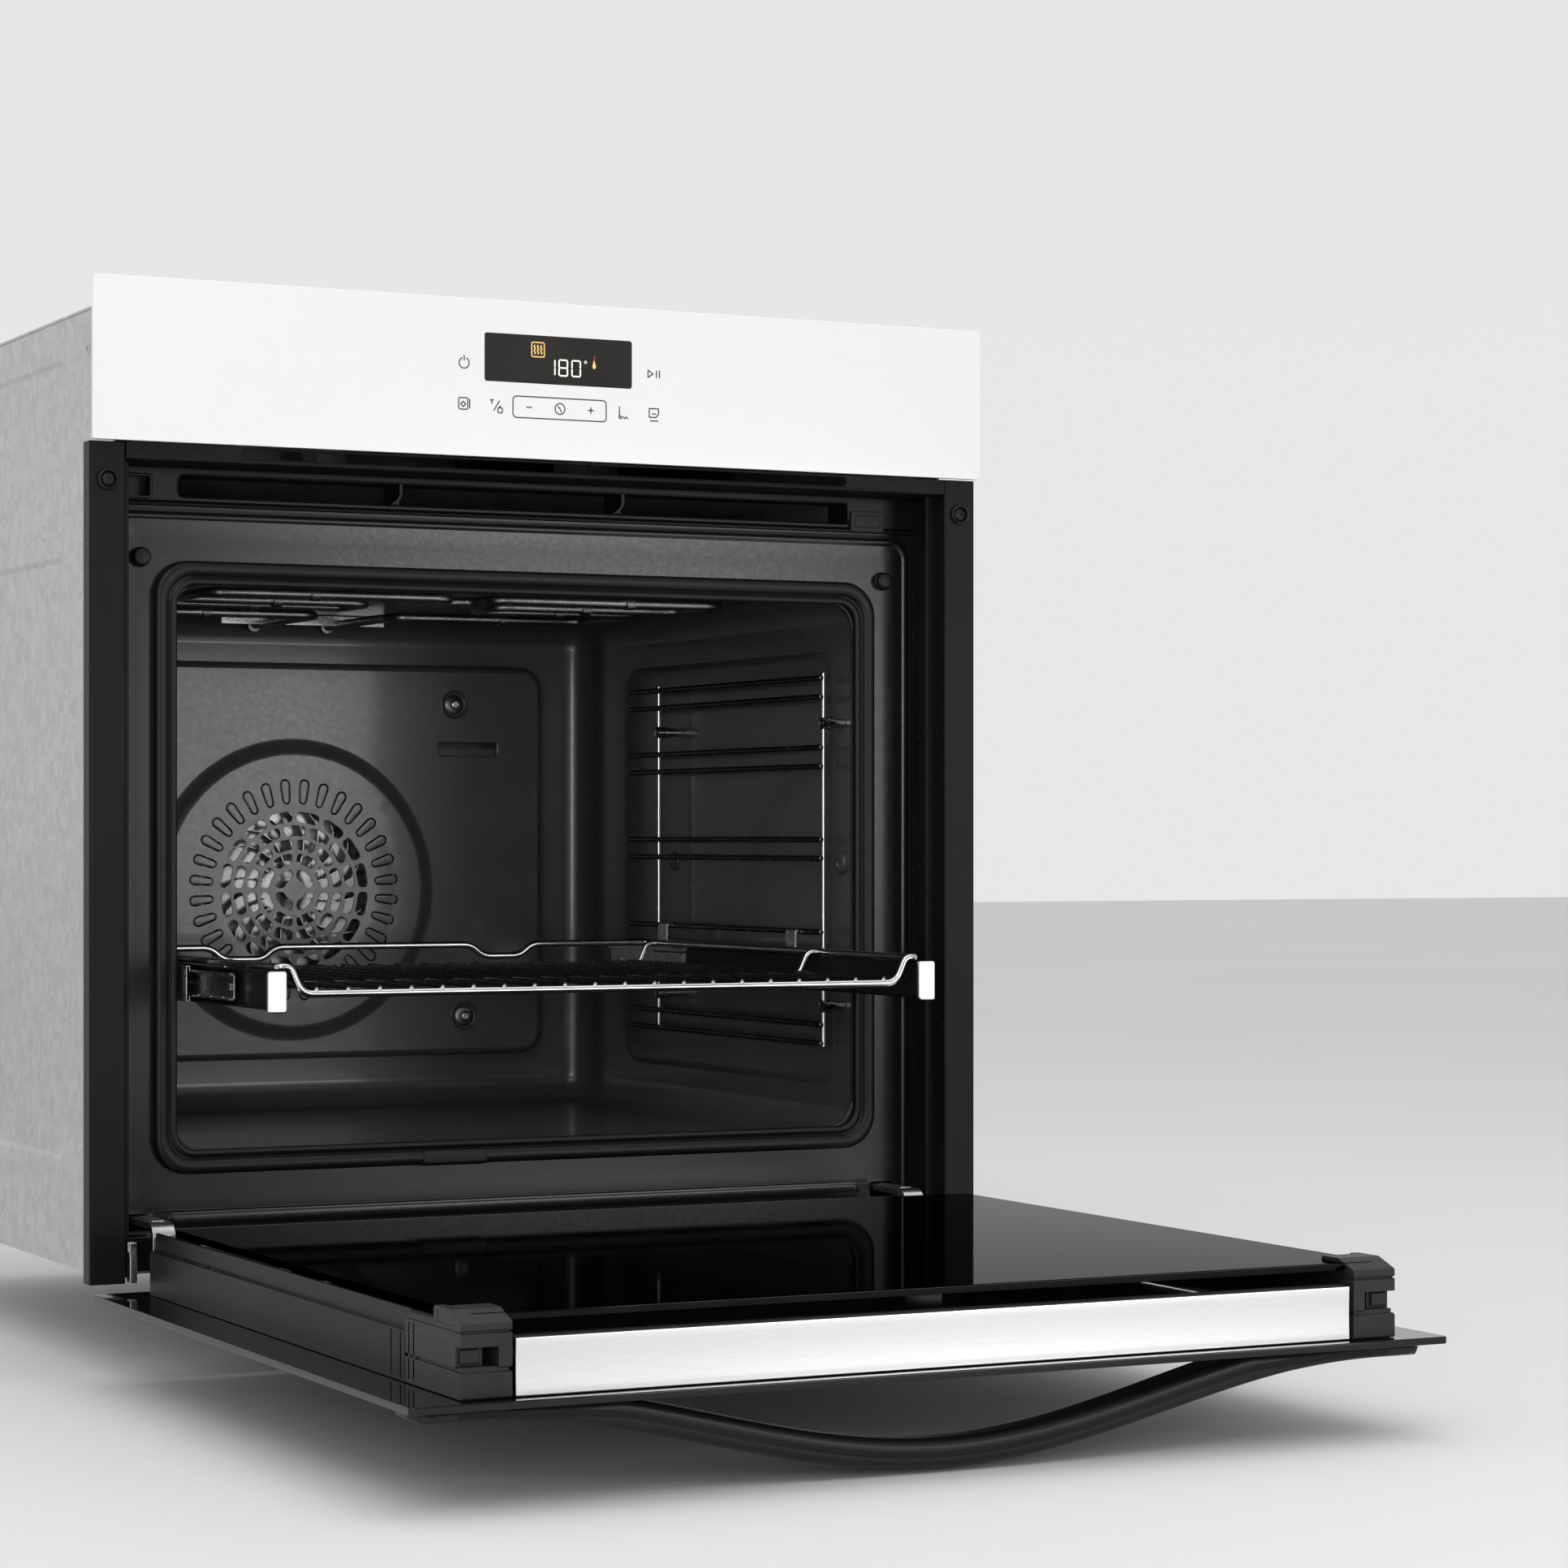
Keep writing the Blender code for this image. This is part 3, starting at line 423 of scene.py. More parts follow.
def filleted(points, radius, steps=5, closed=False):
    """The points of a path with its corners rounded."""
    points = [Vector(p) for p in points]
    count = len(points)
    path = []
    for i, corner in enumerate(points):
        if not closed and i in (0, count - 1):
            path.append(corner)
            continue
        before, after = points[i - 1] - corner, points[(i + 1) % count] - corner
        reach = min(radius, before.length * 0.48, after.length * 0.48)
        start = corner + before.normalized() * reach
        stop = corner + after.normalized() * reach
        for step in range(steps + 1):
            t = step / steps
            path.append(start.lerp(corner, t).lerp(corner.lerp(stop, t), t))
    return path


DOME = ((-0.55, 1.0), (-0.20, 0.82), (0.0, 0.45))    # a bar's end: (way out, size) in radii


def rod(bm, path, radius, sides=12, closed=False):
    """A round bar along a path, with domed ends unless it is closed."""
    path = [Vector(p) for p in path]
    count = len(path)
    side = None
    rings = []
    angles = [2 * math.pi * k / sides for k in range(sides)]
    for i, point in enumerate(path):
        ahead = path[(i + 1) % count] if closed or i < count - 1 else point
        behind = path[i - 1] if closed or i > 0 else point
        tangent = (ahead - behind).normalized()
        side = side or tangent.orthogonal().normalized()
        side = (side - tangent * side.dot(tangent)).normalized()
        across = tangent.cross(side)
        rings.append([point + (side * math.cos(a) + across * math.sin(a)) * radius for a in angles])
    if closed:
        last, first = rings[-1], rings[0]
        shift = min(range(sides), key=lambda s: sum((last[i] - first[(i + s) % sides]).length
                                                    for i in range(sides)))
        rows = loft(bm, rings, caps=False)
        bridge(bm, rows[-1], [rows[0][(i + shift) % sides] for i in range(sides)])
        return
    for end, next_in in ((0, 1), (-1, -2)):
        place, outward = path[end], (path[end] - path[next_in]).normalized()
        dome = [[place + outward * radius * lift + (p - place) * size for p in rings[end]]
                for lift, size in DOME]
        rings = rings[:-1] + dome if end else dome[::-1] + rings[1:]
    loft(bm, rings)


def slot_outline(centre, half_long, half_wide, turn=0.0, steps=5):
    """A slot with round ends, long across its turn angle in degrees."""
    points = []
    for end, first in ((1, -90), (-1, 90)):
        for step in range(steps + 1):
            angle = math.radians(first + 180 * step / steps)
            points.append((end * (half_long - half_wide) + half_wide * math.cos(angle),
                           half_wide * math.sin(angle)))
    return turned(points, centre, turn)


def grown(outline, amount):
    """An outline with its corners moved outwards by about that much; it runs anticlockwise."""
    count = len(outline)
    points = []
    for i, (x, z) in enumerate(outline):
        (ax, az), (bx, bz) = outline[i - 1], outline[(i + 1) % count]
        dx, dz = bx - ax, bz - az
        length = math.hypot(dx, dz) or 1.0
        points.append((x + dz / length * amount, z - dx / length * amount))
    return points


def inside(point, outline):
    x, z = point
    hit = False
    for (ax, az), (bx, bz) in zip(outline, outline[1:] + outline[:1]):
        if (az > z) != (bz > z) and x < (bx - ax) * (z - az) / (bz - az) + ax:
            hit = not hit
    return hit


def extent(loop):
    xs, zs = [p[0] for p in loop], [p[1] for p in loop]
    return min(xs), min(zs), max(xs), max(zs)


def near(point, box):
    return box[0] <= point[0] <= box[2] and box[1] <= point[1] <= box[3]


def pressed_sheet(bm, axis, outline, holes, lines, level, thickness, spread=()):
    """A sheet with holes and pressed shapes. Each line is an (outline, relief), and each of its
    points lies that far behind the level. A hole is one too, or has None for the relief round it.
    The sheet's back is offset by the thickness. Points in spread only help the faces along."""
    points, depths, edges = [], [], []
    for loop, relief in [(outline, None), *holes, *lines]:
        first = len(points)
        for i, point in enumerate(loop):
            points.append(Vector(point))
            depths.append(relief)
            edges.append((first + i, first + (i + 1) % len(loop)))
    for point in spread:
        points.append(Vector(point))
        depths.append(None)
    flat, _, faces, origin, _, _ = delaunay_2d_cdt(points, edges, [], 0, 1e-4)
    gaps = [(hole, extent(hole)) for hole, _ in holes]
    kept = []
    for face in faces:
        middle = sum((flat[i] for i in face), Vector((0, 0))) / len(face)
        if inside(middle, outline) and not any(near(middle, box) and inside(middle, hole)
                                               for hole, box in gaps):
            kept.append(face)
    relief_of = []
    for i, point in enumerate(flat):
        given = [depths[k] for k in origin[i] if depths[k] is not None] if origin[i] else []
        relief_of.append(given[0] if given else None)
    base = [relief if relief is not None else region_relief(point, lines)
            for point, relief in zip(flat, relief_of)]
    front = [bm.verts.new(on_axis(axis, p.x, p.y, level + r)) for p, r in zip(flat, base)]
    back = [bm.verts.new(on_axis(axis, p.x, p.y, level + r + thickness))
            for p, r in zip(flat, base)]
    seen = {}
    for face in kept:
        bm.faces.new([front[i] for i in face])
        bm.faces.new([back[i] for i in reversed(face)])
        for i, j in zip(face, face[1:] + face[:1]):
            seen[(i, j)] = True
    for i, j in seen:
        if (j, i) not in seen:
            bm.faces.new((front[j], front[i], back[i], back[j]))
    bmesh.ops.delete(bm, geom=[v for v in bm.verts if not v.link_faces], context="VERTS")


def region_relief(point, lines):
    """The relief of the innermost pressed line round a point."""
    found = 0.0
    for loop, relief in lines:
        if near(point, extent(loop)) and inside(point, loop):
            found = relief
    return found


# ---------------------------------------------------------------- pieces

def piece(name, bm, materials, body="oven", stands_for=(), bevel=0.0, steps=2, smooth=40):
    """Make a shown piece from a bmesh in fitting millimetres, and tie it to the frame. Its edges
    are sharp above the smooth angle, in degrees."""
    for vertex in bm.verts:
        vertex.co = at(*vertex.co)
    bmesh.ops.recalc_face_normals(bm, faces=bm.faces)
    mesh = bpy.data.meshes.new(name)
    bm.to_mesh(mesh)
    bm.free()
    dress(bpy.data.objects.new(name, mesh), materials, body, stands_for, bevel, steps, smooth)


def dress(made, materials, body, stands_for, bevel, steps, smooth):
    """Give a new object its finishes, its edges and its place in the frame."""
    bpy.context.scene.collection.objects.link(made)
    materials = [materials] if isinstance(materials, str) else materials
    made.data.materials.clear()
    for material in materials:
        made.data.materials.append(MATERIALS[material])
    made.data.shade_smooth()
    made.data.set_sharp_from_angle(angle=math.radians(smooth))
    if bevel:
        edge = made.modifiers.new("edges", "BEVEL")
        edge.width = bevel / 1000
        edge.segments = steps
        edge.limit_method = "ANGLE"
        edge.angle_limit = math.radians(35)
        edge.harden_normals = True
        edge.use_clamp_overlap = True
    even = made.modifiers.new("normals", "WEIGHTED_NORMAL")
    even.keep_sharp = True
    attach(made, body)
    if stands_for:
        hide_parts(*([stands_for] if isinstance(stands_for, str) else stands_for))


def refined(node, body, material):
    """A CAD node's own shape with broken edges and a finish."""
    made = bpy.data.objects.new(node + "_shape", frame["nodes"][node].data.copy())
    bm = bmesh.new()
    bm.from_mesh(made.data)
    bmesh.ops.remove_doubles(bm, verts=bm.verts, dist=1e-6)
    bmesh.ops.dissolve_limit(bm, angle_limit=math.radians(1), verts=bm.verts, edges=bm.edges)
    bmesh.ops.recalc_face_normals(bm, faces=bm.faces)
    bm.to_mesh(made.data)
    bm.free()
    dress(made, material, body, node, 0.4, 2, 40)


# ---------------------------------------------------------------- casing

def border(low, high, corner, insets, reliefs):
    """Nested rounded rectangles for a pressed field, from its foot to its top."""
    return [(rounded(low[0] + i, low[1] + i, high[0] - i, high[1] - i, corner - i * 0.6), relief)
            for i, relief in zip(insets, reliefs)]


def field(low, high, corner, height):
    """A field pressed by height, with a soft edge 5 mm wide."""
    return border(low, high, corner, (0, 1.4, 3.4, 5), (0, height * 0.2, height * 0.8, height))


def louvres(left, low, columns, rows, pitch, half_long, half_wide, turn=0.0):
    """Slots in columns and rows, as holes for a pressed sheet."""
    return [(slot_outline((left + c * pitch[0], low + r * pitch[1]), half_long, half_wide, turn), None)
            for c in range(columns) for r in range(rows)]


def add_pan_head(bm, axis, centre, face, way, radius=4.0):
    """A domed screw head with a six-lobed recess, standing out from a face towards way."""
    stud(bm, axis, centre, face, way, ((0, 0), (radius, 0), (radius, 0.8), (radius * 0.9, 1.5),
                                       (radius * 0.62, 2.0)), 28)
    star = [(centre[0] + r * math.cos(a), centre[1] + r * math.sin(a)) for r, a in
            ((radius * (0.36 + 0.07 * math.cos(6 * t)), t)
             for t in (2 * math.pi * i / 28 for i in range(28)))]
    rim = circle(centre, radius * 0.62, 28)
    stack(bm, axis, [(rim, face + way * 2.0), (star, face + way * 2.05), (star, face + way * 0.9)],
          caps=False)
    bm.faces.new([bm.verts.new(on_axis(axis, a, b, face + way * 0.9)) for a, b in star])


def add_screws(bm, axis, columns, rows, face, way, radius=4.0):
    """Screw heads in every column and row of a sheet."""
    for column in columns:
        for row in rows:
            add_pan_head(bm, axis, (column, row), face, way, radius)


def build_casing():
    low, high = span("casing_wrap")
    gauge = 1.5
    for side, sign in SIDES:
        bm = bmesh.new()
        panel = ((low.y, low.z), (high.y, low.z), (high.y, high.z), (low.y, high.z))
        lines = field((110, 70), (500, 440), 24, -sign * 1.2)
        lines += field((110, 466), (300, 560), 16, -sign * 1.2)
        vents = louvres(335, 482, 8, 3, (20, 30), 11, 2.2, 90)
        pressed_sheet(bm, "x", panel, vents, lines, sign * (high.x - 0.6), -sign * gauge)
        add_screws(bm, "x", (70.0, 540.0), (40.0, 300.0, 560.0), sign * (high.x - 1.4), sign * 0.7,
                   4.2)
        piece("casing_side_" + side, bm, "zinc_steel",
              stands_for="casing_wrap" if sign < 0 else (), smooth=14)
        bm = bmesh.new()
        face, fold = low.y + 0.3, low.y + 1.6
        mask = ((2.3, face), (2.3, 52), (3.3, 52), (3.3, fold), (10.2, fold), (10.2, face))
        shield = ((2.3, 318), (10, 326), (10, 488), (2.3, 496), (3.0, 497), (11, 489), (11, 325),
                  (3.0, 317))
        for outline, foot, top in ((mask, low.z + 2, high.z - 2), (shield, 474, 558)):
            prism(bm, [(sign * (high.x - inwards), depth) for inwards, depth in outline], "height",
                  foot, top)
        piece("casing_mask_" + side, bm, "black_paint", bevel=0.2)
    bm = bmesh.new()
    base = ((low.x + 2, 54.0), (high.x - 2, 54.0), (high.x - 2, high.y), (low.x + 2, high.y))
    vents = louvres(-120, 470, 9, 2, (30, 26), 10, 2.2, 90)
    lines = field((-240, 90), (240, 440), 26, 1.5)
    pressed_sheet(bm, "height", base, vents, lines, low.z, gauge)
    add_screws(bm, "height", (-255.0, 255.0), (80.0, 540.0), low.z + 1.5, -0.7)
    piece("casing_base", bm, "zinc_steel", smooth=14)
    build_casing_back(gauge)
    build_casing_lid(gauge)


def build_casing_back(gauge):
    low, high = span("casing_back")
    bm = bmesh.new()
    panel = ((low.x, low.z), (high.x, low.z), (high.x, high.z), (low.x, high.z))
    cable = circle(CABLE_ENTRY, 9, 32)
    vents = louvres(-75, 512, 11, 1, (15, 15), 24, 2.4, 90)
    vents += louvres(-236, 60, 1, 9, (15, 38), 13, 2.2)
    lines = [(circle(FAN_CENTRE, radius, count), relief) for radius, count, relief in
             ((88, 64, 0), (84, 64, -0.9), (80, 64, -1.2), (40, 48, -1.2), (37, 48, -0.2))]
    lines += [(grown(cable, 6), 0), (grown(cable, 3), -1.0)]
    lines += field((-215, 345), (215, 470), 20, -1.2) + field((-215, 26), (215, 118), 20, -1.2)
    pressed_sheet(bm, "depth", panel, vents + [(cable, -1.0)], lines, high.y - 0.3, -gauge)
    splash = [(high.y - 1.6, 478), (high.y - 9, 484), (high.y - 9, 550), (high.y - 10.2, 550),
              (high.y - 10.2, 483.4), (high.y - 1.6, 476.6)]
    prism(bm, splash, "x", -96, 96)
    add_screws(bm, "depth", (-262.0, 262.0), (30.0, 200.0, 380.0, 560.0), high.y - 1.5, 0.7)
    piece("casing_back_panel", bm, "zinc_steel", stands_for="casing_back", smooth=14)
    bm = bmesh.new()
    ring = ((6.2, -0.2), (6.2, -3.4), (11.5, -3.4), (11.5, -2.2), (8.6, -1.9), (8.6, -0.9),
            (12.0, -0.6), (11.2, -0.1))
    turned_ring(bm, "depth", CABLE_ENTRY, [(radius, high.y + back) for radius, back in ring], 36)
    piece("cable_grommet", bm, "gasket_rubber", smooth=50)


def build_casing_lid(gauge):
    low, high = span("casing_lid")
    bm = bmesh.new()
    panel = ((low.x, low.y), (high.x, low.y), (high.x, high.y), (low.x, high.y))
    vents = louvres(-70, 380, 8, 3, (20, 34), 13, 2.4, 90)
    lines = field((-235, 60), (235, 340), 24, -1.1)
    pressed_sheet(bm, "height", panel, vents, lines, high.z - 0.2, -gauge)
    add_screws(bm, "height", (-262.0, 262.0), (60.0, 300.0, 548.0), high.z - 1.5, 0.6)
    block(bm, (low.x, low.y, high.z - 12), (high.x, low.y + gauge, high.z - 0.4))
    piece("casing_lid_panel", bm, "zinc_steel", stands_for="casing_lid", smooth=14)


# ---------------------------------------------------------------- control fascia

def across_faces(bm, axis_index, slot):
    """Give the faces that look sideways from an axis a material slot of their own."""
    bm.normal_update()
    for face in bm.faces:
        if abs(face.normal[axis_index]) < 0.6:
            face.material_index = slot


def add_stroke(bm, points, width, front, back, closed=False):
    """A printed line through points (x, height), as round-ended bars."""
    runs = zip(points, points[1:] + (points[:1] if closed else []))
    for number, ((ax, az), (bx, bz)) in enumerate(runs):
        length = math.hypot(bx - ax, bz - az)
        turn = math.degrees(math.atan2(bz - az, bx - ax))
        dash = slot_outline(((ax + bx) / 2, (az + bz) / 2), (length + width) / 2, width / 2, turn, 3)
        prism(bm, dash, "depth", front + 0.002 * (number % 3), back)


def arc(centre, radius, start, stop, steps=14):
    return [polar(centre, radius, start + (stop - start) * i / steps) for i in range(steps + 1)]


def moved(points, centre):
    return [(centre[0] + x, centre[1] + z) for x, z in points]


def key_symbols():
    """The printed outlines of the touch keys: (points, closed)."""
    whole, line = True, False
    keys = {
        (-64.4, 555.2): ((arc((0, 0), 3.3, 118, 422), line), ([(0, 1.6), (0, 4.4)], line)),
        (-64.4, 530.7): ((rounded(-3.6, -3.6, 2.4, 3.4, 1.0, 3), whole),
                         ([(3.6, -2.6), (3.6, 2.6)], line),
                         ([(-2.2, -0.4), (-0.6, 1.2), (1.0, -0.4), (-0.6, -2.0)], whole)),
        (-43.0, 530.2): (([(-4.2, 3.4), (-2.2, 3.4)], line), ([(-3.2, 3.4), (-3.2, 1.2)], line),
                         ([(-1.8, -2.8), (1.8, 3.0)], line),
                         (rounded(0.8, -4.2, 3.8, -1.2, 0.6, 2), whole),
                         ([(1.6, -1.2), (3.0, -1.2), (2.3, -0.2)], whole)),
        (-21.4, 530.3): (([(-1.7, 0), (1.7, 0)], line),),
        (-0.8, 530.3): ((rounded(-31.4, -6.5, 31.2, 6.5, 2.4, 4), whole),
                        (arc((0, 0), 3.3, 0, 360, 22), line),
                        ([(-1.4, 1.6), (0, 0), (0.9, -1.9)], line)),
        (20.0, 530.3): (([(-1.7, 0), (1.7, 0)], line), ([(0, -1.7), (0, 1.7)], line)),
        (42.0, 529.9): (([(-2.6, 3.6), (-2.6, -2.6)], line),
                        (arc((-2.0, -2.8), 0.9, 0, 360, 8), line),
                        ([(-0.2, -2.4), (0.9, -3.4), (2.0, -2.4), (3.1, -3.4)], line)),
        (63.2, 529.9): (([(-3.4, 3.6), (3.0, 3.6), (3.0, 0.4), (1.2, -1.8), (-3.4, -1.8)], whole),
                        ([(-1.2, 0.4), (1.0, 0.4)], line), ([(-2.6, -4.0), (2.6, -4.0)], line)),
        (63.2, 555.0): (([(-4.2, -2.2), (-4.2, 2.2), (-0.8, 0)], whole),
                        ([(1.6, -2.1), (1.6, 2.1)], line), ([(3.6, -2.1), (3.6, 2.1)], line)),
    }
    return [(moved(points, place), closed) for place, strokes in keys.items()
            for points, closed in strokes]


def build_fascia():
    low, high = span("control_fascia")
    window_low, window_high = span("display_window")
    opening = rounded(window_low.x - 0.3, window_low.z - 0.3, window_high.x + 0.3,
                      window_high.z + 0.3, 1.6, 4)

    def outline(inset):
        return rounded(low.x + inset, low.z + inset, high.x - inset, high.z - inset, 1.4 - inset, 4)

    bm = bmesh.new()
    front = low.y + 0.1
    rings = ((outline(0.5), front), (outline(0.15), front + 0.15), (outline(0), front + 0.5),
             (outline(0), high.y - 0.5), (outline(0.5), high.y), (opening, high.y),
             (opening, front))
    stack(bm, "depth", rings, closed=True)
    across_faces(bm, 1, 1)
    piece("fascia_pane", bm, ["white_glass", "glass_edge"], stands_for="control_fascia")
    bm = bmesh.new()
    for points, closed in key_symbols():
        add_stroke(bm, points, 0.78, low.y + 0.03, low.y + 0.12, closed)
    piece("fascia_key_print", bm, "print_grey")
    build_display(window_low, window_high, low.y)


def build_display(low, high, face):
    split = 21.0
    front, back = face + 0.14, high.y
    whole = rounded(low.x, low.z, high.x, high.z, 1.4, 5)
    bm = bmesh.new()
    for keep, slot in ((lambda x: min(x, split), 0), (lambda x: max(x, split + 0.02), 1)):
        half = [(keep(x), z) for x, z in whole]
        trimmed = [p for i, p in enumerate(half) if p != half[i - 1]]
        prism(bm, trimmed, "depth", front, back, slot)
    piece("display_pane", bm, ["display_glass", "black_glass"], stands_for="display_window")
    bm = bmesh.new()
    ink = (face + 0.07, face + 0.15)
    bars = {"1": "bc", "8": "abcdefg", "0": "abcdef"}
    for digit, left, width in (("1", -4.2, 0.0), ("8", -1.4, 5.6), ("0", 7.3, 5.6)):
        x0, x1, z0, z1, z2 = left, left + width, 550.7, 555.5, 560.3
        gap = 0.55
        ends = {"a": ((x0 + gap, z2), (x1 - gap, z2)), "g": ((x0 + gap, z1), (x1 - gap, z1)),
                "d": ((x0 + gap, z0), (x1 - gap, z0)), "b": ((x1, z2 - gap), (x1, z1 + gap)),
                "c": ((x1, z1 - gap), (x1, z0 + gap)), "f": ((x0, z2 - gap), (x0, z1 + gap)),
                "e": ((x0, z1 - gap), (x0, z0 + gap))}
        for name in bars[digit]:
            add_stroke(bm, list(ends[name]), 0.95, *ink)
    add_stroke(bm, arc((16.4, 559.8), 0.75, 0, 360, 10), 0.4, *ink)
    piece("display_digits", bm, "lit_white")
    bm = bmesh.new()
    icon = (-15.5, 565.8)
    add_stroke(bm, moved(rounded(-4.2, -4.4, 4.2, 4.4, 1.0, 3), icon), 0.7, *ink, closed=True)
    for shift in (-2.2, 0.0, 2.2):
        wave = [(shift + 0.5 * math.sin(t * 1.6), -2.6 + t * 0.65) for t in range(9)]
        add_stroke(bm, moved(wave, icon), 0.75, *ink)
    drop = [(22.2, 561.6), (23.5, 557.6), (22.9, 556.0), (21.6, 556.0), (21.0, 557.6)]
    prism(bm, drop, "depth", *ink)
    piece("display_symbols", bm, "lit_amber")
    bm = bmesh.new()
    prism(bm, [(22.4, 564.6), (23.2, 562.2), (21.8, 562.2)], "depth", *ink)
    piece("display_warning", bm, "lit_red")


# ---------------------------------------------------------------- front round the door

def build_front():
    build_front_plate()
    build_crossbar()
    build_air_outlet()
    for side, sign in SIDES:
        build_side_strip(side, sign)
        build_fixing_screw(side)
        build_bump_stop(side)
    build_gasket()
    build_sill()


def build_front_plate():
    low, high = span("front_plate")
    gasket_low, gasket_high = span("door_gasket")
    mouth = rounded(gasket_low.x + 14, gasket_low.z + 14.2, gasket_high.x - 14,
                    gasket_high.z - 14.1, 18, 8)
    hinge_slots = [(rounded(middle - 8.5, 33.5, middle + 8.5, 43.5, 1.5, 3), None)
                   for middle in (-252, 252)]
    lines = border((low.x + 2.6, 26.5), (high.x - 2.6, high.z - 3), 12,
                   (0, 0.7, 1.6, 2.6, 3.6, 4.5, 5.2), (0, -0.5, -1.1, -1.3, -1.1, -0.5, 0))
    lines += border((-236, 35.5), (236, 43.5), 3.9, (0, 1.2, 2.4), (0, -0.5, -0.8))
    outline = rounded(low.x, low.z, high.x, high.z, 3, 3)
    bm = bmesh.new()
    holes = [(mouth, 1.1), *hinge_slots]
    lines += [(grown(mouth, 2.4), 0), (grown(mouth, 0.8), 0.35)]
    spread = [(x, z) for x in range(-250, 251, 50) for z in (60, 446)]
    spread += [(s * 256, z) for s in (-1, 1) for z in range(100, 401, 50)]
    pressed_sheet(bm, "depth", outline, holes, lines, low.y, high.y - low.y, spread=spread)
    for height in (44.6, 33.2):
        rod(bm, [(-241.5, low.y + 0.15, height), (241.5, low.y + 0.15, height)], 0.8, 10)
    piece("mouth_plate", bm, "black_enamel", stands_for="front_plate")


def build_crossbar():
    low, high = span("front_crossbar")
    bm = bmesh.new()
    face = [(low.x, low.z + 0.6), (high.x, low.z + 0.6), (high.x, high.z), (low.x, high.z)]
    slot = rounded(-203, 492, 203, 497.5, 2.2, 4)
    lines = [(grown(slot, 0.9), 0)]
    pressed_sheet(bm, "depth", face, [(slot, 0.5)], lines, low.y, 1.5)
    shelf = [(low.y + 0.5, low.z + 0.9), (low.y + 1.1, low.z + 0.2), (low.y + 2, low.z)]
    for start in (18.0, 30.0, 41.0):
        shelf += [(start - 2, low.z), (start - 1, low.z - 0.8), (start + 1, low.z - 0.8),
                  (start + 2, low.z)]
    shelf += [(high.y, low.z), (high.y, low.z + 1.5), (low.y + 0.6, low.z + 1.5)]
    prism(bm, shelf, "x", low.x, high.x)
    piece("fascia_crossbar", bm, "black_paint", stands_for="front_crossbar")


def build_air_outlet():
    """One long mouth behind the face, parted by two set-back ribs with curved feet."""
    low, high = span("air_outlet")
    mouth = rounded(-228, 472.4, 228, 485, 3.0, 4)
    pocket = rounded(-270, 471.6, -246, 483.6, 1.4, 3)
    face = [(low.x, 469.4), (high.x, 469.4), (high.x, high.z), (low.x, high.z)]
    bm = bmesh.new()
    lines = [(grown(mouth, 1.2), 0), (grown(pocket, 1.6), 0), (grown(pocket, 0.9), -0.7)]
    pressed_sheet(bm, "depth", face, [(mouth, 0.9), (pocket, -0.7)], lines, low.y + 0.4, 1.6)
    lip = ((low.y - 1.6, 466.5), (low.y - 2.2, 467.6), (low.y - 1.2, 469.0), (low.y + 5.5, 471.9),
           (high.y, 471.9), (high.y, 466.4))
    prism(bm, lip, "x", low.x + 0.4, high.x - 0.4)
    block(bm, (low.x, low.y + 3, 485.4), (high.x, high.y, high.z - 0.3))
    for end in (-230.5, 228.5):
        block(bm, (end - 0.1, low.y + 1, 471.5), (end + 2.0, high.y, 486))
    block(bm, (-270.5, low.y + 9, 471), (-246, low.y + 10.5, 484))
    for x in (-85.0, 66.0):
        foot = [polar((x - 7, 481), 9, angle) for angle in range(-90, 1, 15)]
        rib = foot + [(x + 2, 486), (x, 486), (x, 481.5)]
        rib += [(a - 1.5, b + 0.6) for a, b in foot[5:1:-1]]
        prism(bm, rib + [(foot[0][0], 471.8)], "depth", low.y + 2.5, low.y + 9)
        block(bm, (x, low.y + 8, 471.5), (x + 2.0, high.y, 486))
    piece("outlet_grille", bm, "black_plastic", stands_for="air_outlet", bevel=0.3)
    bm = bmesh.new()
    block(bm, (228.6, low.y - 2.5, 466.6), (252.5, low.y + 0.3, 480.2))
    block(bm, (231.5, low.y - 3.0, 469.5), (249.5, low.y - 2.0, 477.4))
    piece("outlet_latch_block", bm, "grey_plastic", bevel=0.6)


def build_sill():
    """The folded black sheet under the front plate, which closes the recess below the door."""
    low, _ = span("front_plate")
    back, top, foot = low.y - 0.1, low.z + 3.0, 2.6
    fold = [(12.6, foot), (back - 1.4, foot), (back, foot + 1.4), (back, top), (back - 1, top),
            (back - 1, foot + 1.8), (back - 1.8, foot + 1), (13.6, foot + 1), (13.6, foot + 3.6),
            (12.6, foot + 3.6)]
    bm = bmesh.new()
    prism(bm, fold, "x", -243, 243)
    piece("front_sill", bm, "black_paint", bevel=0.2)


def build_side_strip(side, sign):
    low, high = span("side_strip_" + side)
    inner, outer = half_widths(low, high)
    bm = bmesh.new()
    wall = inner + 1.5
    outline = [(inner, low.y + 0.9), (inner + 0.9, low.y), (outer - 0.6, low.y),
               (outer, low.y + 0.6), (outer, low.y + 11.6), (outer - 0.4, low.y + 12),
               (wall + 0.3, low.y + 12), (wall, low.y + 12.6), (wall, high.y), (inner, high.y)]
    prism(bm, [(sign * x, d) for x, d in outline], "height", low.z, high.z)
    for depth, height in ((20, 334), (38, 334), (20, 150), (38, 250)):
        stud(bm, "x", (depth, height), sign * inner, sign,
             ((3.6, 0.2), (3.4, -0.35), (2.6, -0.5), (2.2, 0.1), (0, 0.1)), 24)
    block(bm, (sign * (inner - 0.5), 29.2, 326), (sign * (inner + 0.2), 30.6, 344))
    piece("strip_" + side, bm, "black_paint", stands_for="side_strip_" + side, bevel=0.25)


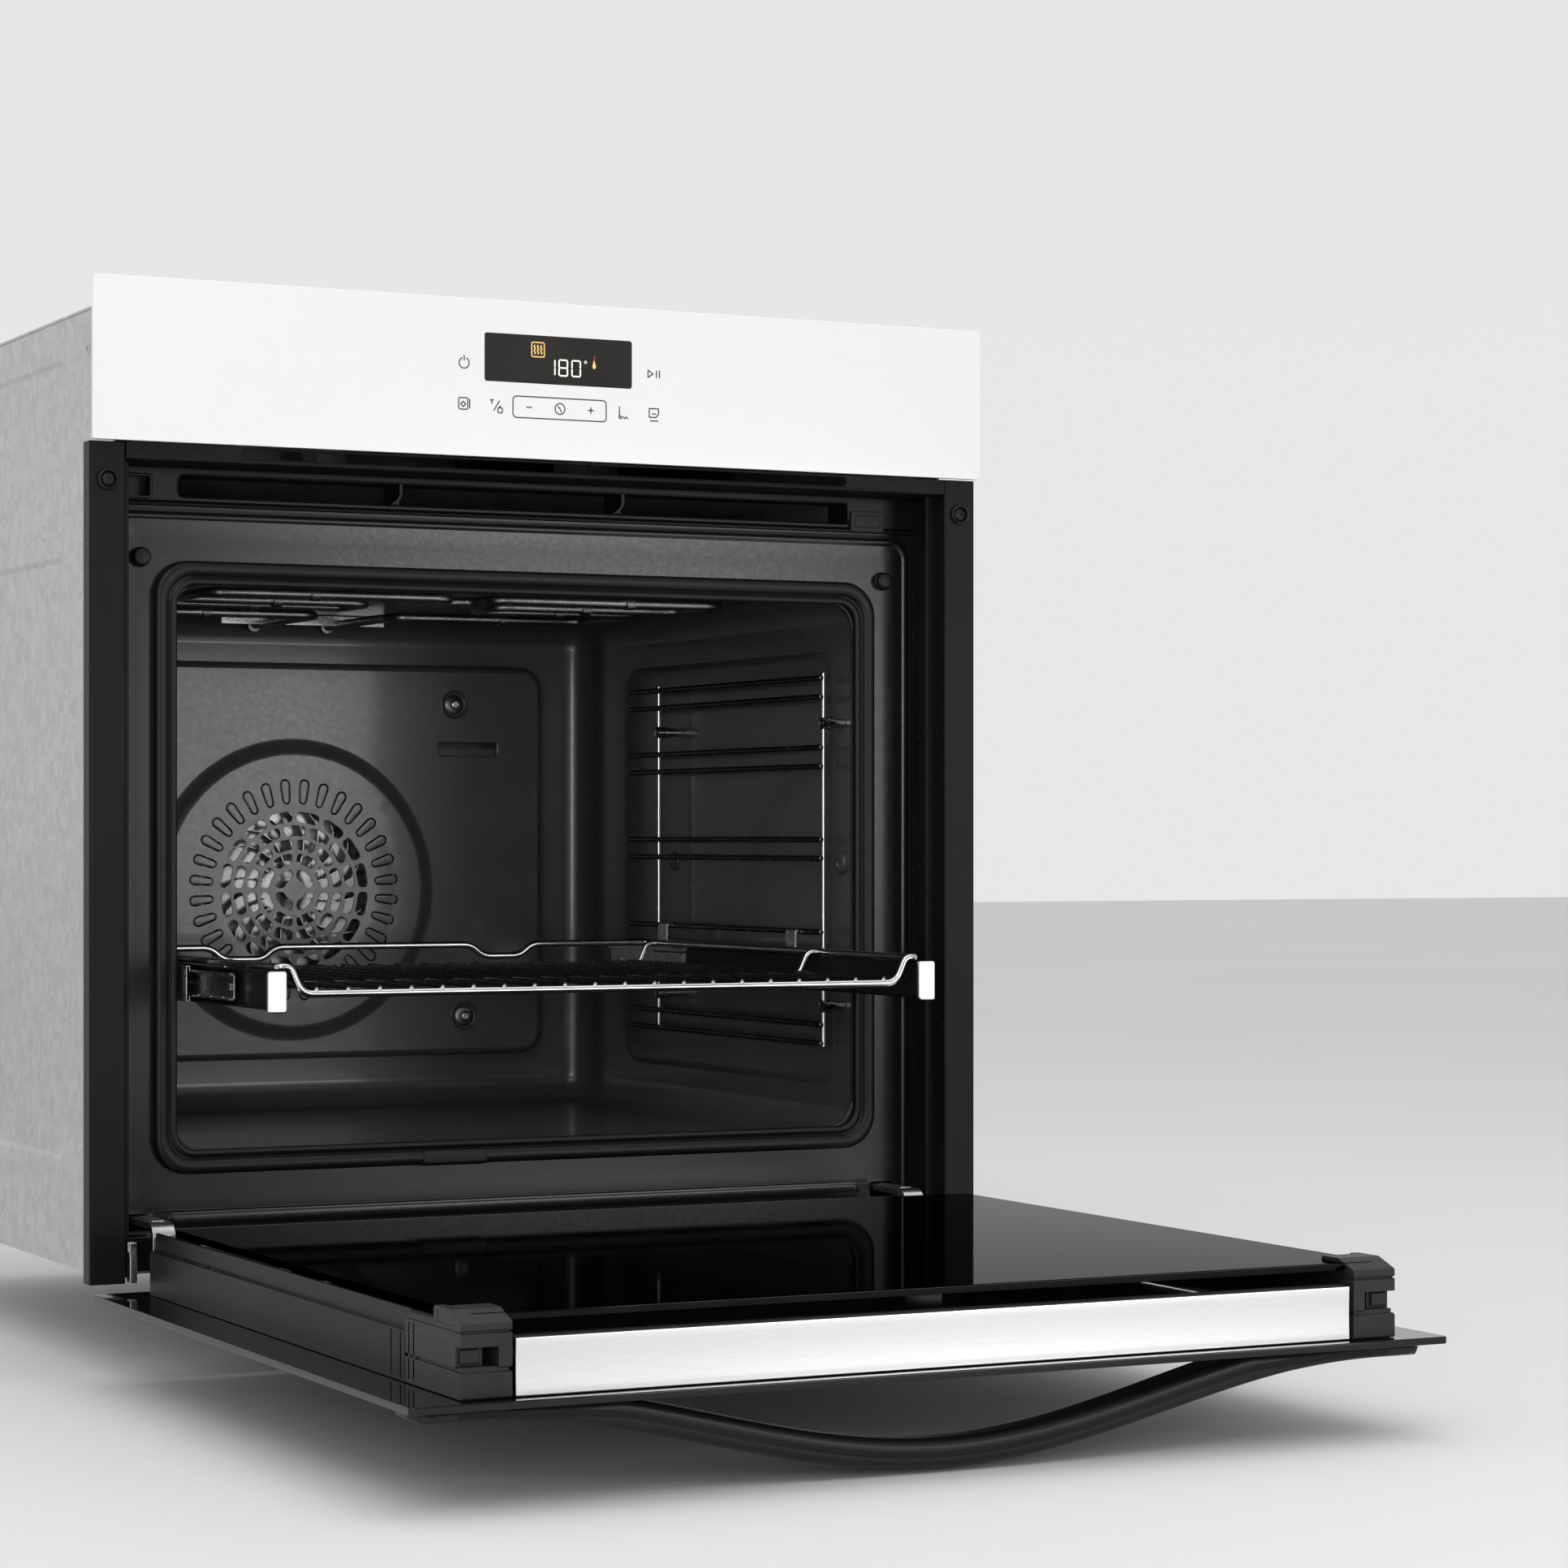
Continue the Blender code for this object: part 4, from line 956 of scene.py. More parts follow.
def build_fixing_screw(side):
    low, high = span("fixing_screw_" + side)
    centre = ((low.x + high.x) / 2, (low.z + high.z) / 2)
    face = low.y
    bm = bmesh.new()
    ring = ((6.5, 3.0), (6.5, 1.4), (6.1, 0.7), (5.4, 0.4), (4.9, 0.8), (4.5, 2.0), (4.3, 3.0))
    turned_ring(bm, "depth", centre, [(radius, face + back) for radius, back in ring], 36)
    piece("strip_bush_" + side, bm, "black_plastic", stands_for="fixing_screw_" + side, smooth=50)
    bm = bmesh.new()
    add_pan_head(bm, "depth", centre, face + 2.9, -0.9, 4.0)
    piece("strip_screw_" + side, bm, "black_plastic", smooth=50)


def build_bump_stop(side):
    low, high = span("bump_stop_" + side)
    centre = ((low.x + high.x) / 2, (low.z + high.z) / 2)
    bm = bmesh.new()
    back = high.y - low.y
    stud(bm, "depth", centre, low.y, 1, ((0, 0), (3.2, 0.05), (4.6, 0.4), (5.4, 1.2), (5.6, 2.4),
                                         (5.4, 4.2), (6, 4.8), (6, back), (0, back)), 36)
    piece("door_buffer_" + side, bm, "gasket_rubber", stands_for="bump_stop_" + side)


def build_gasket():
    """A bulb with a sealing lip inside it, and the sleeve that joins its two ends."""
    low, high = span("door_gasket")
    width = 14.5
    section = ((0, 6.2), (0, 3.4), (0.03, 2.0), (0.09, 0.9), (0.18, 0.25), (0.30, 0.0),
               (0.42, 0.25), (0.52, 0.9), (0.58, 1.9), (0.61, 3.0), (0.66, 3.3), (0.71, 2.9),
               (0.77, 1.9), (0.85, 1.6), (0.94, 1.9), (1.0, 2.8), (1.0, 6.2))
    bm = bmesh.new()
    layers = []
    for share, back in section:
        inset = width * share
        layers.append((rounded(low.x + inset, low.z + inset, high.x - inset, high.z - inset,
                               22 - 10 * share, 9), low.y + back))
    stack(bm, "depth", layers, closed=True)
    piece("seal_loop", bm, "gasket_rubber", stands_for="door_gasket", smooth=50)
    bm = bmesh.new()
    sizes = ((-73, 0.0), (-72.4, 0.45), (-71, 0.55), (-32, 0.55), (-30.6, 0.45), (-30, 0.0))
    stack(bm, "x", [(rounded(low.y + 0.3 - size, low.z - size, low.y + 6.2, low.z + 8.6 + size,
                             2.6, 5), x) for x, size in sizes])
    piece("seal_sleeve", bm, "gasket_rubber", smooth=50)


# ---------------------------------------------------------------- cavity

def build_cavity():
    low, high = span("cavity_muffle")
    skin, corner = 1.5, 20.0

    def loop(inset):
        return rounded(low.x + inset, low.z + inset, high.x - inset, high.z - inset,
                       max(corner - inset + skin, 4.0), 8)

    bm = bmesh.new()
    back = high.y - skin
    rings = [(loop(skin), low.y)]
    rings += [(loop(skin), low.y + (back - corner - low.y) * i / 4) for i in range(1, 5)]
    for step in range(1, 9):
        angle = math.radians(90 * step / 8)
        rings.append((loop(skin + corner * (1 - math.cos(angle))),
                      back - corner + corner * math.sin(angle)))
    rows = stack(bm, "depth", rings, caps=False)
    cap(bm, rows[-1])
    outer_rows = stack(bm, "depth", [(loop(0), high.y), (loop(0), low.y)], caps=False)
    cap(bm, outer_rows[0])
    bridge(bm, outer_rows[1], rows[0])
    piece("cavity_shell", bm, "cavity_enamel", stands_for="cavity_muffle", smooth=50)
    wall_x, floor = high.x - skin, low.z + skin
    for side, sign in SIDES:
        bm = bmesh.new()
        panel = border((90, 103), (417, 392), 22, (0, 0.8, 2, 3.6, 5, 6.2),
                       (0, 0.5, 1.1, 1.75, 2.05, 2.15))
        stack(bm, "x", [(outline, sign * (wall_x + 0.3 - rise)) for outline, rise in panel])
        for depth in (GRID_FRONT, GRID_REAR):
            stud(bm, "x", (depth, 251), sign * wall_x, -sign,
                 ((7, -0.2), (6.8, 2.6), (5.6, 3.6), (3.0, 3.9), (2.6, 3.1), (0, 3.1)), 32)
        piece("cavity_wall_panel_" + side, bm, "cavity_enamel", smooth=50)
    bm = bmesh.new()
    panel = border((-196, 92), (196, 440), 26, (0, 1, 2.6, 4.6, 6.4), (0, 0.4, 1.0, 1.5, 1.7))
    stack(bm, "height", [(outline, floor - 0.3 + rise) for outline, rise in panel])
    piece("cavity_floor_panel", bm, "cavity_enamel", smooth=50)
    build_lamp()
    build_fan_cover()
    build_elements(high.z - skin)


def build_lamp():
    low, high = span("lamp_lens")
    centre = ((low.y + high.y) / 2, (low.z + high.z) / 2)
    wall = low.x + 4.5
    bm = bmesh.new()
    dome = [(0, high.x), (6, high.x - 0.4), (12, high.x - 1.6), (16.5, high.x - 3.8),
            (18.6, high.x - 6.6), (18.8, wall - 0.5), (16, wall - 2), (0, wall - 2)]
    lathe(bm, dome, "x", centre, 48)
    piece("lamp_glass_cap", bm, "lamp_glass", stands_for="lamp_lens")
    bm = bmesh.new()
    ring = [(18.9, wall - 0.6), (19.0, wall + 3.4), (20.4, wall + 4.2), (22.6, wall + 3.0),
            (24, wall + 0.8), (24, wall - 0.6)]
    turned_ring(bm, "x", centre, ring, 48)
    for k in range(24):
        lathe(bm, ((0.9, wall + 0.4), (0.8, wall + 2.9), (0, wall + 3.1)), "x",
              polar(centre, 22.9, 15 * k), 8)
    piece("lamp_ring", bm, "plated_steel")


def fan_slots():
    """Rings of slots round the fan's centre, as anticlockwise outlines."""
    found = []
    for radius, count in ((12, 4), (23, 8), (33, 12), (43, 14), (53, 16)):
        for i in range(count):
            middle = 360 * (i + 0.5) / count
            reach = 360 / count * 0.44
            half = 3.9
            first, last = middle - reach, middle + reach
            bend = math.degrees(1.4 / radius)
            points = [polar(FAN_CENTRE, r, angle) for r, angles in
                      ((radius - half, (first + bend, middle, last - bend)), (radius, (last,)),
                       (radius + half, (last - bend, middle, first + bend)), (radius, (first,)))
                      for angle in angles]
            found.append(soft_loop(points[::-1]))
    return found


def soft_loop(points):
    """One round of corner cutting."""
    cut = []
    for (ax, az), (bx, bz) in zip(points, points[1:] + points[:1]):
        cut += [(ax * 0.75 + bx * 0.25, az * 0.75 + bz * 0.25),
                (ax * 0.25 + bx * 0.75, az * 0.25 + bz * 0.75)]
    return cut[::-1]


def petal(angle, low, high, half_low, half_high, steps=5):
    """A closed pressed leaf, narrow towards the fan's centre."""
    points = []
    for radius, half, first in ((high - half_high, half_high, -90), (low + half_low, half_low, 90)):
        for step in range(steps + 1):
            t = math.radians(first + 180 * step / steps)
            points.append((radius + half * math.cos(t), half * math.sin(t)))
    return turned(points, FAN_CENTRE, angle)


def build_fan_cover():
    low, high = span("fan_cover")
    field_depth, disc = low.y + 4.0, -4.0
    fold = 5.0
    outline = rounded(low.x + fold, low.z + fold, high.x - fold, high.z - fold, 12, 6)
    lines = [(circle(FAN_CENTRE, r, 120), relief) for r, relief in
             ((110, 0), (108, -0.25), (105, -1.2), (102, -2.7), (99.3, -3.7), (97, disc))]
    leaves = [petal(360 * (i + 0.5) / 32, 61.8, 80.6, 3.2, 4.1) for i in range(32)]
    holes = [(leaf, disc + 0.3) for leaf in leaves]
    for slot in fan_slots():
        lines.append((grown(slot, 0.7), disc))
        holes.append((slot, disc + 0.45))
    recess = rounded(114, 328, 161, 338, 1.5, 3)
    lines.append((grown(recess, 1.0), 0))
    holes.append((recess, 0.6))
    holes += [(circle(spot, 11, 40), 0.0) for spot in fan_cover_screws()]
    bm = bmesh.new()
    pressed_sheet(bm, "depth", outline, holes, lines, field_depth, 1.2)
    layers = []
    for step in range(7):
        angle = math.radians(90 * step / 6)
        inset = fold * (1 - math.sin(angle))
        layers.append((rounded(low.x + inset, low.z + inset, high.x - inset, high.z - inset,
                               12 + fold * math.sin(angle), 6),
                       field_depth + fold * (1 - math.cos(angle))))
    layers.append((rounded(low.x, low.z, high.x, high.z, 17, 6), high.y))
    stack(bm, "depth", layers, caps=False)
    block(bm, (113, field_depth + 4.5, 326), (162, field_depth + 5.5, 333.4))
    for leaf in leaves:
        stack(bm, "depth", [(grown(leaf, -inset), field_depth + disc + back)
                            for inset, back in ((1.6, 0.05), (1.0, 0.35), (1.0, 1.4))])
    # The dimple round each screw gets the black enamel of slot 1: painted shade in the dimple.
    for spot in fan_cover_screws():
        for dish in (((11.2, 0.35), (10.6, 0.1), (9.8, 0.6), (8.8, 1.8), (8.0, 2.2), (0, 2.2)),
                     ((11.2, 0.35), (11.0, 3.0), (0, 3.0))):
            stud(bm, "depth", spot, field_depth, 1, dish, 40, 1)
    # Its second finish, the black enamel, is painted shade in the screw dimples.
    piece("fan_cover_pressing", bm, ["cavity_enamel", "black_enamel"], stands_for="fan_cover",
          smooth=50)
    face = field_depth + 1.2
    washer = [(radius, face + back) for radius, back in
              ((3.0, 1), (7.2, 1), (7.4, 0.4), (6.2, -0.6), (3.0, -0.8))]
    for number, spot in enumerate(fan_cover_screws(), 1):
        bm = bmesh.new()
        turned_ring(bm, "depth", spot, washer, 36)
        piece("fan_cover_washer_%d" % number, bm, "element_steel")
        bm = bmesh.new()
        add_pan_head(bm, "depth", spot, face - 1.2, -1.0, 3.9)
        piece("fan_cover_bolt_%d" % number, bm, "plated_steel",
              stands_for="fan_cover_screw_%d" % number, smooth=50)


def fan_cover_screws():
    places = []
    for number in range(1, 5):
        low, high = span("fan_cover_screw_%d" % number)
        places.append(((low.x + high.x) / 2, (low.z + high.z) / 2))
    return places


def build_convection_fan():
    low, high = span("convection_fan")
    centre = FAN_CENTRE
    bm = bmesh.new()
    plate = low.y + 11.0
    back = high.y - plate
    stud(bm, "depth", centre, plate, 1,
         ((0, -1.0), (9, -1.0), (14, 0.2), (24, 0.2), (27, -0.8), (56, -0.8), (60, 0.1), (60, 0.9),
          (56, 0.2), (27, 0.2), (24, 1.0), (9, 1.3), (4, 2), (4, back), (0, back)), 72)
    for i in range(20):
        path = [(21 + 37.5 * t, 2 * math.pi * i / 20 + 0.42 * t * t)
                for t in (step / 6 for step in range(7))]
        left = [(centre[0] + r * math.cos(a + 0.45 / r), centre[1] + r * math.sin(a + 0.45 / r))
                for r, a in path]
        right = [(centre[0] + r * math.cos(a - 0.45 / r), centre[1] + r * math.sin(a - 0.45 / r))
                 for r, a in reversed(path)]
        prism(bm, left + right, "depth", low.y + 1.5, plate)
    prism(bm, circle(centre, 7.4, 6), "depth", low.y, low.y + 5)
    stud(bm, "depth", centre, low.y, 1, ((0, -1.5), (3.2, -1.3), (3.8, -0.6), (3.8, 2), (0, 2)), 24)
    piece("fan_impeller", bm, "element_steel", body="convection_fan", stands_for="convection_fan",
          bevel=0.12)


def build_elements(ceiling):
    low, high = span("ring_element")
    radius, tube = 82.0, 3.2
    loop = [on_axis("depth", *polar(FAN_CENTRE, radius, angle), low.y + tube)
            for angle in range(-80, 261, 5)]
    ends = [(p[0], high.y, p[2]) for p in (loop[0], loop[-1])]
    bm = bmesh.new()
    path = [ends[0]] + filleted([ends[0], loop[0], loop[1]], 6)[1:-1] + loop[1:-1]
    path += filleted([loop[-2], loop[-1], ends[1]], 6)[1:-1] + [ends[1]]
    rod(bm, path, tube, 14)
    for x, _, height in ends:
        lathe(bm, ((tube + 1.6, high.y - 7), (tube + 1.6, high.y), (0, high.y)), "depth",
              (x, height), 6)
        lathe(bm, ((tube, high.y - 7), (tube + 1.6, high.y - 7)), "depth", (x, height), 6)
    piece("ring_heater", bm, "element_steel", stands_for="ring_element", smooth=50)
    build_grill(ceiling)


def build_grill(ceiling):
    low, high = span("grill_element")
    tube = (high.z - low.z) / 2
    level = (low.z + high.z) / 2
    half = ((28, high.y), (28, 345), (172, 345), (172, 250), (45, 250), (45, 205), (180, 205),
            (180, 135), (14, 135), (14, 168))
    loop = [(-x, depth, level) for x, depth in half]
    loop += [(x, depth, level) for x, depth in reversed(half)]
    bm = bmesh.new()
    rod(bm, filleted(loop, 14, 7), tube, 16)
    for x in (-28, 28):
        stud(bm, "depth", (x, level), high.y, -1,
             ((tube, 14), (tube + 1.8, 13.6), (tube + 1.8, 8), (tube, 7.6)), 24)
    piece("grill_heater", bm, "element_steel", stands_for="grill_element", smooth=50)
    bm = bmesh.new()
    for x in (-110, 110):
        block(bm, (x - 5, 124, level + tube + 0.2), (x + 5, 356, level + tube + 1.2))
        for depth in (135, 205, 250, 345):
            wrap = [polar((depth, level), tube + 0.5, a) for a in range(-180, 1, 20)]
            back = [polar((depth, level), tube + 1.3, a) for a in range(0, -181, -20)]
            prism(bm, wrap + back, "x", x - 3, x + 3)
        for depth in (165, 300):
            add_pan_head(bm, "height", (x, depth), level + tube + 0.3, -0.8, 3.4)
    for side in (-1, 1):
        prism(bm, [(side * 150, level + tube), (side * 150, ceiling), (side * 152, ceiling),
                   (side * 152, level + tube)], "depth", 225, 239)
    piece("grill_clips", bm, "element_steel", bevel=0.2)
    bm = bmesh.new()
    shelf = [(450, 420.4), (450, ceiling - 0.6), (468, ceiling - 0.6), (468, ceiling - 1.6),
             (451.2, ceiling - 1.6), (451.2, 420.4)]
    prism(bm, shelf, "x", -62, 62)
    for i in range(5):
        prism(bm, slot_outline((-50 + 25 * i, 423.4), 8, 0.9), "depth", 449.6, 450.4)
    piece("element_bracket", bm, "plated_steel", bevel=0.15)


def build_side_grid(side, sign):
    low, high = span("side_grid_" + side)
    x, wire, to_wall = sign * 225.0, 2.0, 14.6
    fixing = [(radius, x + sign * out) for radius, out in
              ((0, -3.0), (3.4, -2.9), (4.4, -2.2), (4.4, 0.4), (3.1, 1.2), (3.1, 2.4), (4.2, 3.0),
               (4.2, 6.6), (3.0, 7.2), (3.0, to_wall), (0, to_wall))]
    bm = bmesh.new()
    for depth in (GRID_FRONT, GRID_REAR):
        rod(bm, [(x, depth, low.z), (x, depth, high.z)], wire, 16)
        for height in (157.0, 343.0):
            lathe(bm, fixing, "x", (depth, height), 20)
    piece("grid_posts_" + side, bm, "chrome_wire", stands_for="side_grid_" + side, smooth=50)
    bm = bmesh.new()
    for level in (138.8, 199.6, 260.3, 320.8, 366.4):
        for way in (-1, 1):
            height = level + way * 6.2
            path = [(x - sign * 3, GRID_FRONT - 3, height), (x - sign * 3, 371, height),
                    (x + sign * 0.5, 376, height)]
            rod(bm, filleted(path, 3), 1.9, 12)
    # The rungs are chrome like the posts; their darker finish is painted shade.
    piece("grid_rungs_" + side, bm, "chrome_wire_painted_shade", smooth=50)


# ---------------------------------------------------------------- door, as it lies open

def door(along, above):
    """Depth and height of a point of the open door."""
    return HINGE_DEPTH - along, HINGE_HEIGHT + above


def door_outline(points):
    return [door(along, above) for along, above in points]


def build_pane(name, node, corner, chamfer, finish, edge):
    low, high = span(node)
    bm = bmesh.new()

    def loop(inset):
        return rounded(low.x + inset, low.y + inset, high.x - inset, high.y - inset,
                       corner - inset, 5)

    stack(bm, "height", [
        (loop(chamfer), low.z), (loop(chamfer * 0.3), low.z + chamfer * 0.3),
        (loop(0), low.z + chamfer), (loop(0), high.z - chamfer),
        (loop(chamfer * 0.3), high.z - chamfer * 0.3), (loop(chamfer), high.z)])
    across_faces(bm, 2, 1)
    piece(name, bm, [finish, edge], body="door", stands_for=node)


def build_door():
    build_pane("outer_pane", "door_outer_glass", 3.0, 0.7, "black_glass", "dark_glass_edge")
    build_pane("middle_pane", "door_middle_glass", 3.0, 0.5, "clear_glass", "dark_glass_edge")
    build_pane("inner_pane", "door_inner_glass", 4.0, 0.7, "printed_glass", "dark_glass_edge")
    build_trim_strip()
    build_bottom_rail()
    for side, sign in SIDES:
        build_door_side(side, sign)
        build_end_cap(side, sign)
        build_hinge(side, sign)
    build_handle()


def build_trim_strip():
    low, high = span("door_trim_strip")
    foot, top = low.z - HINGE_HEIGHT, high.z - HINGE_HEIGHT
    face = HINGE_DEPTH - low.y
    section = [(470, foot), (face - 0.8, foot), (face - 0.2, foot + 0.2), (face, foot + 0.8)]
    section += [(face - 0.35 * math.sin(math.pi * t / 8), foot + 0.8 + (top - foot - 1.6) * t / 8)
                for t in range(1, 8)]
    section += [(face, top - 0.8), (face - 0.2, top - 0.2), (face - 0.8, top), (470, top),
                (470, top - 1.3), (face - 1.4, top - 1.3), (face - 1.4, foot + 1.3),
                (470, foot + 1.3)]
    bm = bmesh.new()
    prism(bm, door_outline(section), "x", low.x, high.x)
    piece("trim_strip", bm, "bright_strip", body="door", stands_for="door_trim_strip", smooth=30)


def build_bottom_rail():
    low, high = span("door_bottom_rail")
    section = [(3, -0.2), (44, -0.2), (44, 2), (30, 2), (29, 3), (20, 3), (19, 2), (5, 2), (5, 33),
               (20, 33), (21, 32.2), (26, 32.2), (27, 33), (42, 33), (42, 35), (3.8, 35), (3, 34.2)]
    bm = bmesh.new()
    prism(bm, door_outline(section), "x", low.x, high.x)
    for i in range(9):
        prism(bm, slot_outline((-200 + 50 * i, HINGE_HEIGHT + 18), 17, 2.6), "depth",
              HINGE_DEPTH - 3.2, HINGE_DEPTH - 2.7)
    piece("bottom_rail", bm, "black_paint", body="door", stands_for="door_bottom_rail", bevel=0.3)


def build_door_side(side, sign):
    node = "door_side_profile_" + side
    low, high = span(node)
    outer, skin = 268.0, 1.4
    body = [(252, -0.2), (outer - skin, -0.2), (outer - skin, 24.6), (264.5, 26), (264.5, 34.8),
            (264.1, 35.2), (262.5, 35.2), (262.5, 1.3), (252, 1.3)]
    bm = bmesh.new()
    prism(bm, [(sign * x, HINGE_HEIGHT + above) for x, above in body], "depth", high.y, low.y)
    face = [(low.y, HINGE_HEIGHT - 0.2), (high.y, HINGE_HEIGHT - 0.2),
            (high.y, HINGE_HEIGHT + 24.8), (low.y, HINGE_HEIGHT + 24.8)]
    grooves = [rounded(HINGE_DEPTH - along - 0.7, HINGE_HEIGHT + 1, HINGE_DEPTH - along + 0.7,
                       HINGE_HEIGHT + 24, 0.6, 2) for along in (395.5, 408)]
    pressed_sheet(bm, "x", face, [(groove, None) for groove in grooves], (), sign * outer,
                  -sign * skin)
    for edge in (0.9, 24.3):
        rod(bm, [(sign * (outer - 0.55), high.y, HINGE_HEIGHT + edge),
                 (sign * (outer - 0.55), low.y, HINGE_HEIGHT + edge)], 0.55, 10)
    for first in (40, 62, 100, 122):
        prism(bm, [(sign * x, depth) for x, depth in
                   rounded(265.0, HINGE_DEPTH - first - 16, 266.5, HINGE_DEPTH - first, 0.6, 3)],
              "height", HINGE_HEIGHT + 24.9, HINGE_HEIGHT + 25.7)
    add_pan_head(bm, "x", (HINGE_DEPTH - 300, HINGE_HEIGHT + 12.5), sign * (outer - 1.6),
                 sign * 0.75, 3.0)
    piece("side_profile_" + side, bm, "black_paint", body="door", stands_for=node, bevel=0.15)


def build_end_cap(side, sign):
    node = "door_end_cap_" + side
    low, high = span(node)
    inner, outer = half_widths(low, high)
    far = HINGE_DEPTH - low.y
    near_end = HINGE_DEPTH - high.y
    bm = bmesh.new()

    def part(x0, x1, outline):
        prism(bm, door_outline(outline), "x", sign * x0, sign * x1)

    part(inner, outer, ((near_end, -0.2), (far - 0.6, -0.2), (far, 0.6), (far, 11.6),
                        (far - 1.0, 12.6), (near_end, 12.6)))
    part(inner + 1.2, outer - 1.4, ((near_end + 1, 12), (far - 1.6, 12), (far - 1.6, 15),
                                    (near_end + 1, 15)))
    part(inner, 248.6, ((near_end, 14.2), (far - 0.8, 14.2), (far, 15), (far, 24.6),
                        (near_end, 24.6)))
    part(254.2, outer, ((near_end, 14.2), (far - 7.4, 14.2), (far - 6.6, 15), (far - 6.6, 24.6),
                        (near_end, 24.6)))
    part(248.2, 254.6, ((near_end, 14.2), (far - 18, 14.2), (far - 18, 24.6), (near_end, 24.6)))
    part(256.5, outer - 1.8, ((far - 8, 16.2), (far - 5.4, 16.2), (far - 5.0, 16.8),
                              (far - 5.0, 22.6), (far - 5.6, 23.2), (far - 8, 23.2)))
    part(inner, outer, ((near_end, 24.4), (far, 24.4), (far, 30.6), (far - 0.8, 31.2),
                        (near_end, 31.2)))
    part(inner + 0.9, outer - 0.9, ((near_end + 1, 31), (far - 1.0, 31), (far - 1.0, 34.4),
                                    (near_end + 1, 34.4)))
    part(inner, outer, ((455, 34.2), (455, 40.4), (456, 41.5), (469.6, 41.5), (471, 41.0),
                        (far - 0.8, 36.4), (far, 35.4), (far, 32.4), (far - 1, 31.8),
                        (477.2, 31.8), (477.2, 34.2)))
    part(262.6, outer, ((near_end, 34.2), (near_end, 34.8), (456, 34.8), (456, 34.2)))
    part(262.8, outer, ((450, 34), (450, 40), (451.5, 41.5), (456, 41.5), (456, 34)))
    for along in (418.5, 424.5):
        part(outer - 0.6, outer, ((along - 0.5, 2), (along + 1.5, 2), (along + 1.5, 30),
                                  (along - 0.5, 30)))
    piece("end_cap_" + side, bm, "grey_plastic", body="door", stands_for=node, bevel=0.55, steps=3)


def build_hinge(side, sign):
    low, high = span("hinge_arm_" + side)
    inner, outer = half_widths(low, high)
    bm = bmesh.new()
    front, top = low.y, high.z
    elbow = (front + 9, top - 9)
    prism(bm, [(front, low.z), *arc(elbow, 9, 180, 90, 9), (high.y, top), (high.y, top - 4),
               *arc(elbow, 5, 90, 180, 9), (front + 4, low.z)], "x", sign * inner, sign * outer)
    middle = sign * (inner + outer) / 2
    stud(bm, "depth", (middle, 14.0), front, -1, ((3.4, -0.2), (3.2, 0.7), (2.2, 1.3), (0, 1.4)), 24)
    block(bm, (sign * (inner + 3), front + 12, top - 0.4),
          (sign * (outer - 3), high.y - 4, top + 0.5))
    piece("hinge_lever_" + side, bm, "plated_steel", stands_for="hinge_arm_" + side, bevel=0.7,
          steps=3)
    bm = bmesh.new()
    prong = [(4, 8), (11, 8), (11, 22), (9.7, 27), (10.3, 31.5), (8.5, 31.5), (7.9, 26), (7.1, 26),
             (6.5, 31.5), (4.7, 31.5), (5.3, 27), (4, 22)]
    prism(bm, prong, "x", sign * 269.2, sign * 273.6)
    piece("door_stop_fork_" + side, bm, "plated_steel", bevel=0.4)


def build_handle():
    node = "door_handle"
    low, high = span(node)
    along, band, drop, count = 466.5, 15.5, 41.0, 96
    rings, strips = [], []
    for i in range(count + 1):
        x = low.x + (high.x - low.x) * i / count
        bend = 0.5 + 0.5 * math.cos(math.pi * x / 262) if abs(x) < 262 else 0.0
        foot = -11.3 - drop * bend
        top = min(-4.8, foot + band)
        half = 13.5 - 4 * bend
        taper = min(1.0, (abs(high.x) - abs(x)) / 7.0)
        shrink = 0.55 + 0.45 * math.sqrt(max(0.0, 1 - (1 - taper) ** 2))
        half *= shrink
        section = rounded(along - half, top - (top - foot) * shrink, along + half, top,
                          min(5.0, (top - foot) * shrink * 0.45), 5)
        rings.append([(x, *door(a, b)) for a, b in section])
        if abs(x) < 268:
            strips.append([(x, *door(along + half + out, (foot + top) / 2 + up)) for out, up in
                           ((-0.9, -1.9), (0.18, -1.6), (0.26, 0), (0.18, 1.6), (-0.9, 1.9))])
    bm = bmesh.new()
    loft(bm, rings)
    piece("handle_bow", bm, "black_plastic", body="door", stands_for=node, smooth=50)
    bm = bmesh.new()
    loft(bm, strips)
    piece("handle_inlay", bm, "black_paint", body="door", smooth=50)
    for side, sign in SIDES:
        bm = bmesh.new()
        outline = slot_outline((sign * 277, HINGE_DEPTH - along), 12, 9)
        stack(bm, "height", [(outline, HINGE_HEIGHT - 4.4), (outline, HINGE_HEIGHT - 5.6),
                             (grown(outline, -1.0), HINGE_HEIGHT - 6.2)])
        piece("handle_seat_" + side, bm, "gasket_rubber", body="door", smooth=50)


# ---------------------------------------------------------------- rails and rack

def channel(inner, outer, low, high, gauge, lip):
    """A C-section, open towards the inner side: (x, height) points for the right side."""
    return [(outer, low), (outer, high), (inner, high), (inner, high - lip),
            (inner + gauge, high - lip), (inner + gauge, high - gauge),
            (outer - gauge, high - gauge), (outer - gauge, low + gauge),
            (inner + gauge, low + gauge), (inner + gauge, low + lip), (inner, low + lip), (inner, low)]


def bar(bm, outline, sign, start, stop):
    """An outline of (x, height) points for the right side, pulled along the depth."""
    prism(bm, [(sign * x, z) for x, z in outline], "depth", start, stop)


